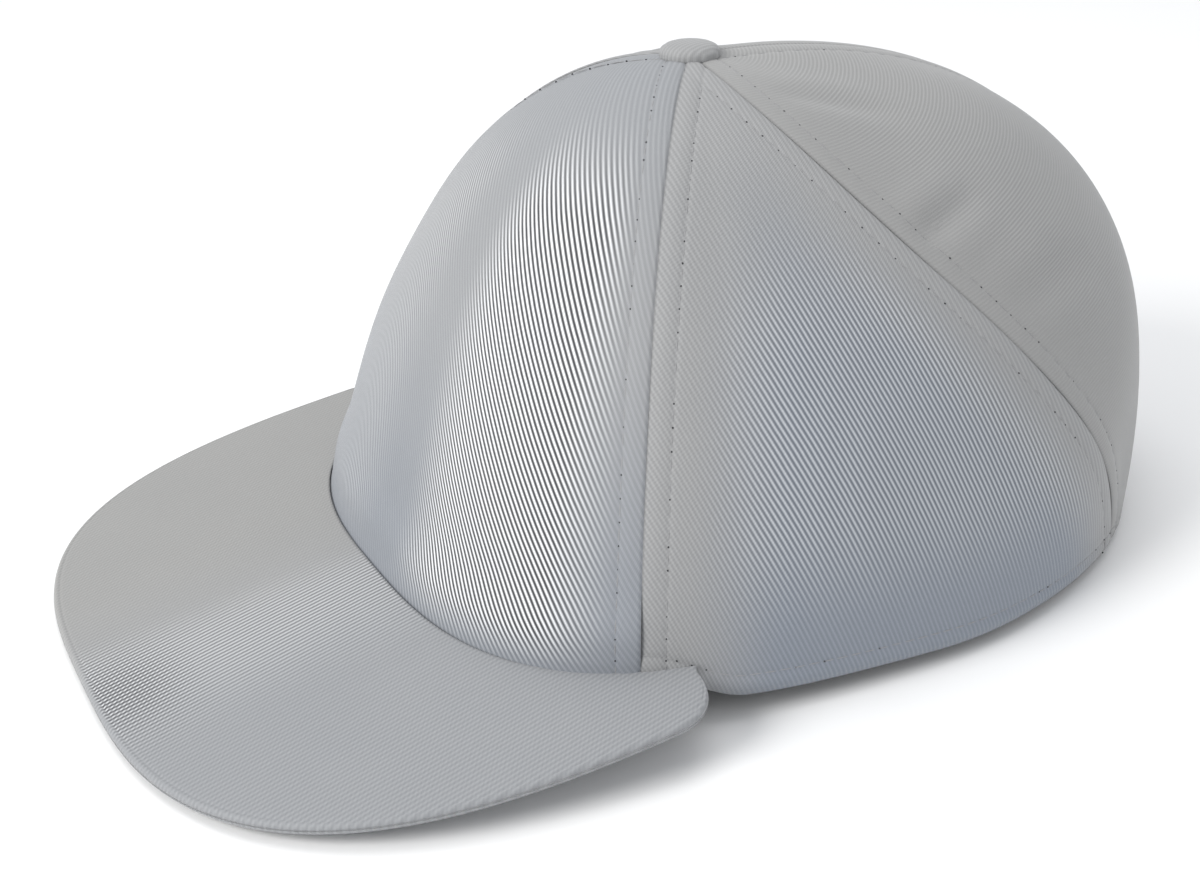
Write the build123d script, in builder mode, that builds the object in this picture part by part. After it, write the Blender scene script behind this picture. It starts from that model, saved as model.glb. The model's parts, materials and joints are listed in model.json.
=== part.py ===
"""Five-panel bump cap with a removable protective insert.

Millimetres. +Z is up, the peak points to -Y and the wearer's left is +X. The origin is the centre
of the head opening, on the surface that the cap rests on. An azimuth is an angle about the
vertical, 0 at the front and growing towards the wearer's left.
"""

import os
from math import atan2, cos, degrees, hypot, radians, sin

from build123d import *

os.makedirs("parts", exist_ok=True)

# Crown: plan of the rim, height and the place of the button
half_width = 92.6
front_length = 105.6
rear_length = 111.8
front_squareness = 2.83
crown_height = 127.8
button_y = -12.6
rim_slope = 0.0375

# Meridian shape at the front, side and rear: reach of the top, height of the wall, bulge
top_reach = (0.776, 0.547, 0.08)
wall_height = (0.05, 0.494, 1.04)
bulge = (-0.129, 0.03, 0.238)

# Seams, as azimuths: the side seam drifts back as it goes down
front_seam = 47.6
side_seam_top = 71.6
side_seam_rim = 135.0

# Peak
peak_length = 73.9
peak_half_width = 100.6
peak_root_height = 10.9
peak_slope = 0.111
peak_arch = 1.0 / 80**2
peak_roundness = 3.0
peak_corner = 53.5
peak_corner_radius = 12
peak_blend = 14
peak_seam_gap = 0.3
board_thickness = 1.6
cover_thickness = 0.5
cover_margin = 1.2

# Fabric parts, as depths under the crown's outer face
fabric = (0, 1.0)
backing = (1.1, 1.6)
binding = (1.1, 1.9)
sweatband_depth = (3.3, 4.9)
sweatband_height = 32
sweatband_end = 151
label_depth = (5.0, 5.3)
strip_half_width = 6
panel_tip = 4

# Covered button and its prong
button_radius = 7.5
button_rise = 3.2
button_round = 2.9
prong_radius = 6
prong_thickness = 0.9
stem_radius = 1.5
prong_drop = 2.6

# Rear opening
arch_half_width = 41
arch_spring = 34
arch_height = 50
binding_width = 8

# Strap, ring and hook-and-loop end, as depths and as places along X
strap_bottom = 4
strap_width = 20
strap_depth = (2.0, 3.0)
strap_ends = (-29.5, 50)
loop_depth = (0.8, 2.0)
loop_ends = (-20, 36)
hook_depth = (-1.15, 0.4)
hook_ends = (-18, 24)
tail_depth = (-2.2, -1.2)
tail_ends = (-26.9, 30)
ring_x = -31.3
ring_depth = 0.5
ring_bar = 2.4
ring_window = 7.0
ring_window_height = 21.6
tab_depth = (2.0, 3.0)
tab_ends = (-50, -33.5)
tab_eye_depth = (-1.9, 3.0)
tab_eye_ends = (-39.8, -33.1)
tab_eye_radius = 1.75

# Insert, as (sideways, down) depths under the crown's outer face
shell_outer = (7.5, 4.5)
shell_inner = (9.3, 6.3)
pad_outer = (9.8, 6.8)
pad_inner = (14.8, 11.8)
trim_wall = 0.8
trim_lip = 1.2
trim_height = 5
shell_edge = 36
shell_rear_rise = 24
apex_radius = 5
vent_length = 30
vent_width = 7

# Reach of a cut that has to pass right through
far = 400


def blend(low, high, value):
    """Go smoothly from 0 at low to 1 at high."""
    share = min(max((value - low) / (high - low), 0), 1)
    return share * share * (3 - 2 * share)


def at_azimuth(values, azimuth):
    """Blend front, side and rear values by the squared cosine of the azimuth."""
    front, side, rear = values
    end = front if cos(radians(azimuth)) > 0 else rear
    return side + (end - side) * cos(radians(azimuth)) ** 2


def peak_height(x, y):
    """Height of the peak's middle surface."""
    return peak_root_height + peak_slope * (y + front_length) - peak_arch * x * x


def rim_point(azimuth, gap=0):
    """Point of the crown's lower edge on its outer face, or a gap outside it."""
    across, along = abs(sin(radians(azimuth))), abs(cos(radians(azimuth)))
    in_front = cos(radians(azimuth)) > 0
    length, power = (front_length, front_squareness) if in_front else (rear_length, 2)
    radius = ((across / half_width) ** power + (along / length) ** power) ** (-1 / power) + gap
    x, y = radius * sin(radians(azimuth)), -radius * cos(radians(azimuth))
    side_height = rim_slope * (rear_length - y)
    side_share = blend(peak_corner - peak_blend / 2, peak_corner + peak_blend / 2, abs(azimuth))
    return x, y, peak_height(x, y) + (side_height - peak_height(x, y)) * side_share


def meridian_plane(azimuth):
    """Upright plane from the button's axis out through the rim point."""
    x, y, _ = rim_point(azimuth)
    return Plane(origin=(0, button_y, 0), x_dir=(x, y - button_y, 0), z_dir=(y - button_y, -x, 0))


def meridian(azimuth, depth=(0, 0)):
    """Control points of the crown's curve from the button to the rim, in the meridian plane."""
    x, y, rim = rim_point(azimuth)
    width = hypot(x, y - button_y)
    reach, wall, swell = (at_azimuth(v, azimuth) for v in (top_reach, wall_height, bulge))
    inward, down = depth
    return [
        (0, crown_height - down),
        ((width - inward) * reach, crown_height - down),
        (width * (1 + swell) - inward, rim + (crown_height - rim - down) * wall),
        (width - inward, rim),
    ]


def between(a, b, share):
    """Point at a share of the way from a to b."""
    return a[0] + (b[0] - a[0]) * share, a[1] + (b[1] - a[1]) * share


def halves(curve, share):
    """Control points of the two parts of a Bezier curve cut at a share of its parameter."""
    left, right = [], []
    while curve:
        left.append(curve[0])
        right.insert(0, curve[-1])
        curve = [between(a, b, share) for a, b in zip(curve, curve[1:])]
    return left, right


def share_where(curve, test):
    """Parameter share at which a test that starts true turns false, by halving."""
    low, high = 0, 1
    for _ in range(30):
        middle = (low + high) / 2
        low, high = (middle, high) if test(*halves(curve, middle)[1][0]) else (low, middle)
    return (low + high) / 2


def layer_section(azimuth, depths, foot, tip, top):
    """Section of a curved layer in one meridian plane.

    It runs from a distance off the button's axis, or a height over the rim, down to another height.
    """
    curves = []
    for depth in depths:
        curve = meridian(azimuth, depth if isinstance(depth, tuple) else (depth, depth))
        rim = curve[-1][1]
        if foot:
            curve, _ = halves(curve, share_where(curve, lambda reach, height: height > rim + foot))
        if top:
            _, curve = halves(curve, share_where(curve, lambda reach, height: height > rim + top))
        else:
            _, curve = halves(curve, share_where(curve, lambda reach, height: reach < tip))
        curves.append(curve)
    outside, inside = curves
    with BuildSketch(meridian_plane(azimuth)) as section:
        with BuildLine():
            Bezier(*outside)
            Line(outside[-1], inside[-1])
            Bezier(*reversed(inside))
            Line(inside[0], outside[0])
        make_face()
    return section.sketch


def layer(start, end, count, depths, foot=0, tip=panel_tip, top=0):
    """Loft a layer between two azimuths. Foot and top may be functions of the azimuth."""
    sections = []
    for i in range(count):
        azimuth = start + (end - start) * i / (count - 1)
        low = foot(azimuth) if callable(foot) else foot
        high = top(azimuth) if callable(top) else top
        sections.append(layer_section(azimuth, depths, low, tip, high))
    return loft(sections)


def dome(depths, foot):
    """Whole layer of the insert: two mirrored halves and a disc that closes the top."""
    layer(0, 180, 19, depths, foot)
    mirror(about=Plane.YZ)
    with BuildSketch(Plane.XY.offset(crown_height - depths[1][1])) as apex:
        with Locations((0, button_y)):
            Circle(apex_radius)
    extrude(apex.sketch, depths[1][1] - depths[0][1])


def side_seam_view():
    """Points of the side seam seen from the side, as Y and Z, from the button down to the rim."""
    points = []
    for share in (0, 0.12, 0.25, 0.4, 0.55, 0.7, 0.85, 1):
        azimuth = side_seam_top + (side_seam_rim - side_seam_top) * share
        curve = meridian(azimuth)
        reach, height = halves(curve, share)[1][0]
        _, rim_y, _ = rim_point(azimuth)
        points.append((button_y + (rim_y - button_y) * reach / curve[-1][0], height))
    return points


def seam_strip():
    """Side view of the tape along the side seam."""
    with BuildSketch(Plane.YZ) as strip:
        with BuildLine():
            Spline(*side_seam_view())
        trace(line_width=2 * strip_half_width)
    return strip.sketch


def straight_strip(azimuth, half):
    """Plan of a strip from the button's axis straight out over the rim."""
    x, y, _ = rim_point(azimuth)
    with BuildSketch() as strip:
        with Locations(Location((0, button_y, 0), (0, 0, degrees(atan2(y - button_y, x))))):
            Rectangle(2 * rear_length, 2 * half, align=(Align.MIN, Align.CENTER))
    return strip.sketch


def behind_side_seam():
    """Side view of everything behind the side seam."""
    seam = side_seam_view()
    behind, above, below = 2 * rear_length, 2 * crown_height, -crown_height
    foot = (seam[-1][0], below)
    with BuildSketch(Plane.YZ) as area:
        with BuildLine():
            Spline(*seam)
            Polyline(seam[-1], foot, (behind, below), (behind, above), (seam[0][0], above), seam[0])
        make_face()
    return area.sketch


def arch(grow=0):
    """Rear view of the adjuster opening, grown evenly."""
    with BuildSketch(Plane.XZ) as outline:
        with Locations((0, arch_spring)):
            Rectangle(2 * (arch_half_width + grow), 2 * arch_spring, align=(Align.CENTER, Align.MAX))
            Ellipse(arch_half_width + grow, arch_height - arch_spring + grow)
    return outline.sketch


def rear_band(depths, ends):
    """Upright band of the strap's width that follows the rear of the rim between two X places."""
    with BuildSketch(Plane.XY.offset(strap_bottom)) as plan:
        Ellipse(half_width - depths[0], rear_length - depths[0])
        Ellipse(half_width - depths[1], rear_length - depths[1], mode=Mode.SUBTRACT)
        with Locations((ends[0], 0)):
            Rectangle(ends[1] - ends[0], far, align=(Align.MIN, Align.MIN), mode=Mode.INTERSECT)
    extrude(plan.sketch, strap_width)


def ring_plane():
    """Plane of the ring: X along the rim towards the wearer's left, Y up."""
    width, length = half_width - ring_depth, rear_length - ring_depth
    y = length * (1 - (ring_x / width) ** 2) ** 0.5
    slope = -(length**2) * ring_x / (width**2 * y)
    origin = (ring_x, y, strap_bottom + strap_width / 2)
    return Plane(origin=origin, x_dir=(1, slope, 0), z_dir=(slope, -1, 0))


def crown_plan():
    """Plan of the crown's rim, grown by the gap at the peak's seam."""
    points = [rim_point(azimuth, peak_seam_gap)[:2] for azimuth in range(-180, 180, 12)]
    with BuildSketch() as plan:
        with BuildLine():
            Spline(*points, periodic=True)
        make_face()
    return plan.sketch


def peak_plan(inset):
    """Plan of the peak: a superellipse in front, cut off behind and rounded at the corners."""
    corner_y = rim_point(peak_corner)[1] - inset
    tip_y = -front_length - peak_length + inset
    edge = []
    for i in range(-8, 9):
        share = i / 8
        angle = radians(90 * share * (2 - abs(share)))
        x = (peak_half_width - inset) * abs(sin(angle)) ** (2 / peak_roundness)
        y = corner_y + (tip_y - corner_y) * abs(cos(angle)) ** (2 / peak_roundness)
        edge.append((x if share > 0 else -x, y))
    return edge


def peak_piece(low, high, inset):
    """Part of the peak between two heights over its middle surface, inset from its edge."""
    start_y = -front_length - peak_length - cover_margin
    reach = peak_half_width + cover_margin
    lift = 2 * peak_arch * reach**2
    base = peak_height(reach, start_y)
    with BuildSketch(Plane.XZ.offset(-start_y)) as slab:
        with BuildLine():
            Bezier((-reach, base + low), (0, base + low + lift), (reach, base + low))
            Line((reach, base + low), (reach, base + high))
            Bezier((reach, base + high), (0, base + high + lift), (-reach, base + high))
            Line((-reach, base + high), (-reach, base + low))
        make_face()
    extrude(slab.sketch, 2 * front_length, dir=(0, 1, peak_slope))
    with BuildSketch() as plan:
        with BuildLine():
            edge = Spline(*peak_plan(inset))
            Line(edge @ 1, edge @ 0)
        make_face()
        fillet(plan.vertices().group_by(Axis.Y)[-1], peak_corner_radius - inset)
        add(crown_plan(), mode=Mode.SUBTRACT)
    extrude(plan.sketch.faces().sort_by(Axis.Y)[0], far, both=True, mode=Mode.INTERSECT)


def finish(piece, name):
    """Label a piece and write it."""
    piece.part.label = name
    export_step(piece.part, f"parts/{name}.step")


sides = {"left": 1, "right": -1}

# Front panel and its backing
with BuildPart() as front_panel:
    layer(-front_seam, front_seam, 9, fabric)
finish(front_panel, "front_panel")

with BuildPart() as front_buckram:
    layer(-front_seam, front_seam, 9, backing, foot=2, tip=14)
    for side in sides.values():
        strip = straight_strip(side * front_seam, strip_half_width + 1)
        extrude(strip, far, mode=Mode.SUBTRACT)
finish(front_buckram, "front_buckram")

# Side and rear panels: one layer parted along the side seam
for name, side in sides.items():
    with BuildPart() as side_panel:
        layer(side * front_seam, side * 180, 13, fabric)
        extrude(behind_side_seam(), side * far, mode=Mode.SUBTRACT)
    finish(side_panel, f"side_panel_{name}")

    with BuildPart() as rear_panel:
        layer(side * front_seam, side * 180, 13, fabric)
        extrude(behind_side_seam(), side * far, mode=Mode.INTERSECT)
        extrude(arch(), -far, mode=Mode.SUBTRACT)
    finish(rear_panel, f"rear_panel_{name}")

# Tapes behind the seams
for name, side in sides.items():
    with BuildPart() as front_tape:
        layer(side * (front_seam - 25), side * (front_seam + 25), 5, backing, foot=2, tip=10)
        extrude(straight_strip(side * front_seam, strip_half_width), far, mode=Mode.INTERSECT)
    finish(front_tape, f"front_seam_tape_{name}")

    with BuildPart() as side_tape:
        layer(side * side_seam_top, side * (side_seam_rim + 12), 9, backing, foot=2, tip=24)
        extrude(seam_strip(), side * far, mode=Mode.INTERSECT)
    finish(side_tape, f"side_seam_tape_{name}")

with BuildPart() as rear_seam_tape:
    layer(150, 210, 7, backing, foot=arch_height + binding_width + 1, tip=10)
    extrude(straight_strip(180, strip_half_width), far, mode=Mode.INTERSECT)
finish(rear_seam_tape, "rear_seam_tape")

# Covered button on the crown and its prong underneath
with BuildPart() as top_button:
    with Locations((0, button_y, crown_height)):
        Cylinder(button_radius, button_rise, align=(Align.CENTER, Align.CENTER, Align.MIN))
    fillet(top_button.edges().group_by(Axis.Z)[-1], button_round)
finish(top_button, "top_button")

with BuildPart() as button_prong:
    with Locations((0, button_y, crown_height - prong_drop)):
        Cylinder(prong_radius, prong_thickness, align=(Align.CENTER, Align.CENTER, Align.MIN))
        Cylinder(stem_radius, prong_drop, align=(Align.CENTER, Align.CENTER, Align.MIN))
finish(button_prong, "button_prong")

# Sweatband round the rim, open at the rear, and the blank label on it
with BuildPart() as sweatband:
    layer(-sweatband_end, sweatband_end, 29, sweatband_depth, top=sweatband_height)
finish(sweatband, "sweatband")

with BuildPart() as care_label:
    layer(133, 147, 3, label_depth, foot=3, top=28)
finish(care_label, "care_label")

# Peak: a stiff board between two covers that meet at its edge
half_board = board_thickness / 2
half_peak = half_board + cover_thickness
with BuildPart() as visor_board:
    peak_piece(-half_board, half_board, cover_margin)
finish(visor_board, "visor_board")

for name, low, high in (("top", 0, half_peak), ("under", -half_peak, 0)):
    with BuildPart() as cover:
        peak_piece(low, high, 0)
        add(visor_board.part, mode=Mode.SUBTRACT)
    finish(cover, f"visor_{name}_cover")

# Binding round the rear opening
with BuildPart() as opening_binding:
    layer(140, 220, 9, binding)
    extrude(arch(binding_width), -far, mode=Mode.INTERSECT)
    extrude(arch(), -far, mode=Mode.SUBTRACT)
finish(opening_binding, "opening_binding")

# Strap, its hook-and-loop end, the ring and the tab that holds it
bands = {
    "adjuster_strap": (strap_depth, strap_ends),
    "loop_patch": (loop_depth, loop_ends),
    "hook_patch": (hook_depth, hook_ends),
    "strap_tail": (tail_depth, tail_ends),
}
for name, (depths, ends) in bands.items():
    with BuildPart() as webbing:
        rear_band(depths, ends)
    finish(webbing, name)

bar_offset = (ring_window + ring_bar) / 2
with BuildPart() as strap_ring:
    with BuildSketch(ring_plane()) as frame:
        Rectangle(ring_window + 2 * ring_bar, ring_window_height + 2 * ring_bar)
        fillet(frame.vertices(), ring_bar)
        Rectangle(ring_window, ring_window_height, mode=Mode.SUBTRACT)
    extrude(amount=ring_bar / 2, both=True)
    long_edges = strap_ring.edges().filter_by(Axis.Z).group_by(SortBy.LENGTH)[-1]
    fillet(long_edges, ring_bar / 3)
finish(strap_ring, "strap_ring")
hinge = ring_plane().from_local_coords(Vector(bar_offset, 0, 0))
print(f"tail_peel axis at x {hinge.X:.2f}, y {hinge.Y:.2f}")

with BuildPart() as ring_tab:
    rear_band(tab_depth, tab_ends)
    rear_band(tab_eye_depth, tab_eye_ends)
    eye = ring_plane().from_local_coords(Vector(-bar_offset, 0, 0))
    with Locations(eye):
        Cylinder(tab_eye_radius, far, mode=Mode.SUBTRACT)
finish(ring_tab, "ring_tab")


# Insert: shell, lip and foam pads
def edge_height(azimuth):
    """Height of the shell's lower edge over the rim: higher behind, over the rear opening."""
    return shell_edge + shell_rear_rise * blend(110, 165, abs(azimuth - 360 * (azimuth > 180)))


def trim_foot(azimuth):
    """Height of the lip's lower edge over the rim."""
    return edge_height(azimuth) - trim_lip


def trim_top(azimuth):
    """Height of the lip's upper edge over the rim."""
    return edge_height(azimuth) + trim_height


with BuildPart() as insert_shell:
    dome((shell_outer, shell_inner), edge_height)
    with BuildSketch() as vents:
        for x in (-34, 34):
            for y in (-46, -4, 38):
                with Locations((x, y)):
                    SlotOverall(vent_length, vent_width, rotation=90)
        with Locations((0, 66)):
            SlotOverall(vent_length, vent_width)
    extrude(vents.sketch, far, mode=Mode.SUBTRACT)
finish(insert_shell, "insert_shell")

outer_lip = (shell_outer[0] - trim_wall, shell_outer[1] - trim_wall)
inner_lip = (shell_inner[0] + trim_wall, shell_inner[1] + trim_wall)
with BuildPart() as shell_edge_trim:
    layer(0, 180, 19, (outer_lip, inner_lip), foot=trim_foot, top=trim_top)
    mirror(about=Plane.YZ)
    add(insert_shell.part, mode=Mode.SUBTRACT)
finish(shell_edge_trim, "shell_edge_trim")

with BuildPart() as crown_pad:
    dome((pad_outer, pad_inner), 70)
    with BuildSketch() as cross:
        with Locations((0, button_y + 12)):
            RectangleRounded(100, 28, 12)
            RectangleRounded(28, 110, 12)
    extrude(cross.sketch, far, mode=Mode.INTERSECT)
finish(crown_pad, "crown_pad")

pads = {
    "front_pad": (-36, 36, 42, 82),
    "side_pad_left": (64, 112, 42, 82),
    "side_pad_right": (-112, -64, 42, 82),
    "rear_pad": (148, 212, 67, 95),
}
for name, (start, end, foot, top) in pads.items():
    with BuildPart() as pad:
        layer(start, end, 7, (pad_outer, pad_inner), foot=foot, top=top)
    finish(pad, name)
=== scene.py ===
import json
import math

import bmesh
import bpy
import numpy as np
from mathutils import Matrix, Vector

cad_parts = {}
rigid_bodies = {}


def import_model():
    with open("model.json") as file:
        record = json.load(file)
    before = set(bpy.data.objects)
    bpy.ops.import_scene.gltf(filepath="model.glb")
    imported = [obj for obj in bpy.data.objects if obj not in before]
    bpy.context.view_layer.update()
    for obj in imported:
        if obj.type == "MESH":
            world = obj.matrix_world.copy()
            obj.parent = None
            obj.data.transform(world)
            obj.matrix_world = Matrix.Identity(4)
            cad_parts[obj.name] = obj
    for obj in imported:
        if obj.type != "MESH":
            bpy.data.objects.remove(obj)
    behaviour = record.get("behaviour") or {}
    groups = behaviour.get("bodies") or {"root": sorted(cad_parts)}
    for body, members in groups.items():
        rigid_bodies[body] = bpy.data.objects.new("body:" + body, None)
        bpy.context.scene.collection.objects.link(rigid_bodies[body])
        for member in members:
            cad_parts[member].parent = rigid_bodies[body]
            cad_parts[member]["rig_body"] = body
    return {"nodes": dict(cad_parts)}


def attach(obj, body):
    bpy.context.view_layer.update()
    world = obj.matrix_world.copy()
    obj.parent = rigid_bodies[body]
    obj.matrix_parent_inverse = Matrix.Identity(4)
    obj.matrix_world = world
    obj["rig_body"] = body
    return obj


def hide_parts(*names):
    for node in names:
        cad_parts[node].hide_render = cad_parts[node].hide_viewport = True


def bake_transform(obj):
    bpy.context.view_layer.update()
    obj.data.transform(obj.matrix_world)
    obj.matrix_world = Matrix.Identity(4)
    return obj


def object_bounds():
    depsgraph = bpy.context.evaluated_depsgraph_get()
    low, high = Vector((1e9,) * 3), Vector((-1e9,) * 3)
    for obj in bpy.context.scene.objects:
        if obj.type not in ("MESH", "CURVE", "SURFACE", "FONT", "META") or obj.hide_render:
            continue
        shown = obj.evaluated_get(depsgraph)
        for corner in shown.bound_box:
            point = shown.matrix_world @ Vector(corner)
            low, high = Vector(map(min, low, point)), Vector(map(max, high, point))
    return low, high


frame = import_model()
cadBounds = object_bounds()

# ---- shape of the crown, in metres; azimuth 0 is the front and grows to the wearer's left
crown = {
    "halfWidth": 0.0926, "frontLength": 0.1056, "rearLength": 0.1118, "squareness": 2.83,
    "height": 0.1278, "buttonY": -0.0126, "rimSlope": 0.0375,
    # front, side and rear values of the meridian curve
    "reach": (0.776, 0.547, 0.08), "wall": (0.05, 0.494, 1.04), "bulge": (-0.129, 0.03, 0.238),
    "frontSeam": 47.6, "sideSeamTop": 71.6, "sideSeamRim": 135.0, "tip": 0.003,
}
peak = {
    "rootHeight": 0.0109, "slope": 0.111, "archLength": 6.4, "corner": 53.5, "cornerBlend": 7.0,
    "halfWidth": 0.1006, "length": 0.0739, "roundness": 3.0, "cornerRadius": 0.012,
    "seamGap": -0.0003, "halfThickness": 0.0013, "cover": 0.0004, "edgeBand": 0.0026, "rounding": 0.0012,
    "columns": 260, "rows": 110, "edgeRows": 18, "ribPitch": 0.00125, "ribTilt": -10.0,
}
arch = {"halfWidth": 0.041, "spring": 0.034, "top": 0.050}


def ramp(low, high, value):
    # smoothstep: 0 at low, 1 at high
    share = np.clip((value - low) / (high - low), 0, 1)
    return share * share * (3 - 2 * share)


def bell(distance, width):
    # exp(-(distance / width)^2)
    return np.exp(-(distance / width) ** 2)


def peakHeight(x, y):
    # rootHeight + slope * (y + frontLength) - x^2 / archLength
    return peak["rootHeight"] + peak["slope"] * (y + crown["frontLength"]) - x * x / peak["archLength"]


def rimPoint(azimuth):
    # |sin / halfWidth|^k + |cos / length|^k = radius^-k, where k is the squareness in front and 2 behind
    angle = np.radians(azimuth)
    inFront = np.cos(angle) > 0
    length = np.where(inFront, crown["frontLength"], crown["rearLength"])
    k = np.where(inFront, crown["squareness"], 2.0)
    across, along = np.abs(np.sin(angle)) / crown["halfWidth"], np.abs(np.cos(angle)) / length
    radius = (across ** k + along ** k) ** (-1 / k)
    x, y = radius * np.sin(angle), -radius * np.cos(angle)
    side = ramp(peak["corner"] - peak["cornerBlend"], peak["corner"] + peak["cornerBlend"], np.abs(azimuth))
    sideHeight = crown["rimSlope"] * (crown["rearLength"] - y)
    return x, y, peakHeight(x, y) * (1 - side) + sideHeight * side


def crownPoint(azimuth, share, depth=0.0, down=None):
    # cubic Bezier from the button (share 0) to the rim (share 1), in the upright plane through both
    down = depth if down is None else down
    x, y, rim = rimPoint(azimuth)
    width = np.hypot(x, y - crown["buttonY"])
    cosine = np.cos(np.radians(azimuth))

    def atAzimuth(values):
        # side + (front or rear - side) * cos^2
        front, side, rear = values
        return side + (np.where(cosine > 0, front, rear) - side) * cosine ** 2

    t, rest = share, 1 - share
    handle, wall, bulge = (atAzimuth(crown[key]) for key in ("reach", "wall", "bulge"))
    out = 3 * t * rest ** 2 * (width - depth) * handle
    out = out + 3 * t ** 2 * rest * (width * (1 + bulge) - depth) + t ** 3 * (width - depth)
    top = crown["height"] - down
    z = (rest ** 3 + 3 * t * rest ** 2) * top + t ** 3 * rim
    z = z + 3 * t ** 2 * rest * (rim + (top - rim) * wall)
    ax, ay = x / width * out, crown["buttonY"] + (y - crown["buttonY"]) / width * out
    return np.stack(np.broadcast_arrays(ax, ay, z), -1)


def shareWhere(azimuth, isAbove, depth=0.0, down=None):
    # share at which isAbove(point) turns false on the way down, by halving
    low = np.zeros(np.shape(azimuth))
    high = np.ones(np.shape(azimuth))
    for _ in range(24):
        middle = (low + high) / 2
        above = isAbove(crownPoint(azimuth, middle, depth, down))
        low, high = np.where(above, middle, low), np.where(above, high, middle)
    return (low + high) / 2


def reachOf(points):
    # distance from the button's axis
    return np.hypot(points[..., 0], points[..., 1] - crown["buttonY"])


def atReach(azimuth, reach, depth=0.0, down=None):
    return shareWhere(azimuth, lambda p: reachOf(p) < reach, depth, down)


def atHeight(azimuth, overRim, depth=0.0, down=None):
    return shareWhere(azimuth, lambda p: p[..., 2] > rimPoint(azimuth)[2] + overRim, depth, down)


def rearPlace(x, z, depth=0.0):
    # azimuth and share of the rear point at a given x and height, by halving both
    low = np.full(np.shape(x), 90.0)
    high = np.full(np.shape(x), 180.0)
    for _ in range(22):
        azimuth = (low + high) / 2
        share = shareWhere(azimuth, lambda p: p[..., 2] > z, depth)
        wide = crownPoint(azimuth, share, depth)[..., 0] > np.abs(x)
        low, high = np.where(wide, azimuth, low), np.where(wide, high, azimuth)
    return np.where(np.asarray(x) < 0, 360 - azimuth, azimuth), share


def heading(azimuth):
    # direction of a meridian about the button's axis, in degrees, 0 at the front
    x, y, _ = rimPoint(azimuth)
    return np.degrees(np.arctan2(x, crown["buttonY"] - y)) % 360


azimuthTable = np.linspace(0, 359.9, 1440)
headingTable = heading(azimuthTable)


def domePoint(x, y, depth, down):
    # point of a layer above a given plan place
    reach = np.hypot(x, y - crown["buttonY"])
    azimuth = np.interp(np.degrees(np.arctan2(x, crown["buttonY"] - y)) % 360, headingTable, azimuthTable)
    return crownPoint(azimuth, atReach(azimuth, reach, depth, down), depth, down)


# ---- mesh helpers
def gridQuads(rows, columns, wrap=False):
    # quads between neighbouring rows and columns; wrap joins the last row to the first
    place = np.arange(rows * columns).reshape(rows, columns)
    if wrap:
        place = np.vstack([place, place[:1]])
    corners = [place[:-1, :-1], place[1:, :-1], place[1:, 1:], place[:-1, 1:]]
    return np.stack(corners, -1).reshape(-1, 4)


def gridNormals(points):
    # unit cross product of the grid's two tangents, turned away from a point low inside the crown
    lowPoint = np.array([0, crown["buttonY"], 0.03])
    first, second = np.gradient(points, axis=0), np.gradient(points, axis=1)
    normal = np.cross(first, second)
    normal /= np.maximum(np.linalg.norm(normal, axis=-1, keepdims=True), 1e-12)
    outward = ((points - lowPoint) * normal).sum(-1).mean()
    return normal if outward > 0 else -normal


def lengthAlong(points, axis):
    # running length of the grid's lines along one axis
    steps = np.linalg.norm(np.diff(points, axis=axis), axis=-1)
    total = np.cumsum(steps, axis=axis)
    first = np.zeros_like(np.take(total, [0], axis=axis))
    return np.concatenate([first, total], axis=axis)


def rowsAt(want, length, rows):
    # rows of a table, interpolated at wanted places along its length
    return np.stack([np.interp(want, length, column) for column in rows.T], -1)


def newPiece(name, points, quads, uv=None, values=None, sharpRing=None, slots=None):
    # a mesh from arrays of points and quads, turned outwards by the sign of its volume
    points = np.asarray(points, float).reshape(-1, 3)
    a, b, c, d = (points[quads[:, i]] for i in range(4))
    volume = (a * np.cross(b, c)).sum() + (a * np.cross(c, d)).sum()
    if volume < 0:
        quads = quads[:, ::-1]
    shown = f"{name}_surface" if name in frame["nodes"] else name
    mesh = bpy.data.meshes.new(shown)
    mesh.vertices.add(len(points))
    mesh.vertices.foreach_set("co", points.ravel())
    mesh.loops.add(quads.size)
    mesh.loops.foreach_set("vertex_index", quads.ravel().astype(np.int32))
    mesh.polygons.add(len(quads))
    mesh.polygons.foreach_set("loop_start", np.arange(0, quads.size, 4, dtype=np.int32))
    mesh.update(calc_edges=True)
    mesh.polygons.foreach_set("use_smooth", np.ones(len(quads), bool))
    if slots is not None:
        mesh.polygons.foreach_set("material_index", np.asarray(slots, np.int32))
    if uv is not None:
        layer = mesh.uv_layers.new(name="ribs")
        layer.data.foreach_set("uv", uv.reshape(-1, 2)[quads.ravel()].ravel())
    for key, value in (values or {}).items():
        attribute = mesh.attributes.new(key, "FLOAT", "POINT")
        attribute.data.foreach_set("value", np.asarray(value, np.float32).ravel())
    if sharpRing is not None:
        onRing = np.zeros(len(points), bool)
        onRing[sharpRing] = True
        edges = np.zeros(len(mesh.edges) * 2, np.int32)
        mesh.edges.foreach_get("vertices", edges)
        sharp = onRing[edges.reshape(-1, 2)].all(axis=1)
        mesh.attributes.new("sharp_edge", "BOOLEAN", "EDGE").data.foreach_set("value", sharp)
    piece = bpy.data.objects.new(shown, mesh)
    bpy.context.scene.collection.objects.link(piece)
    return piece


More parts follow.
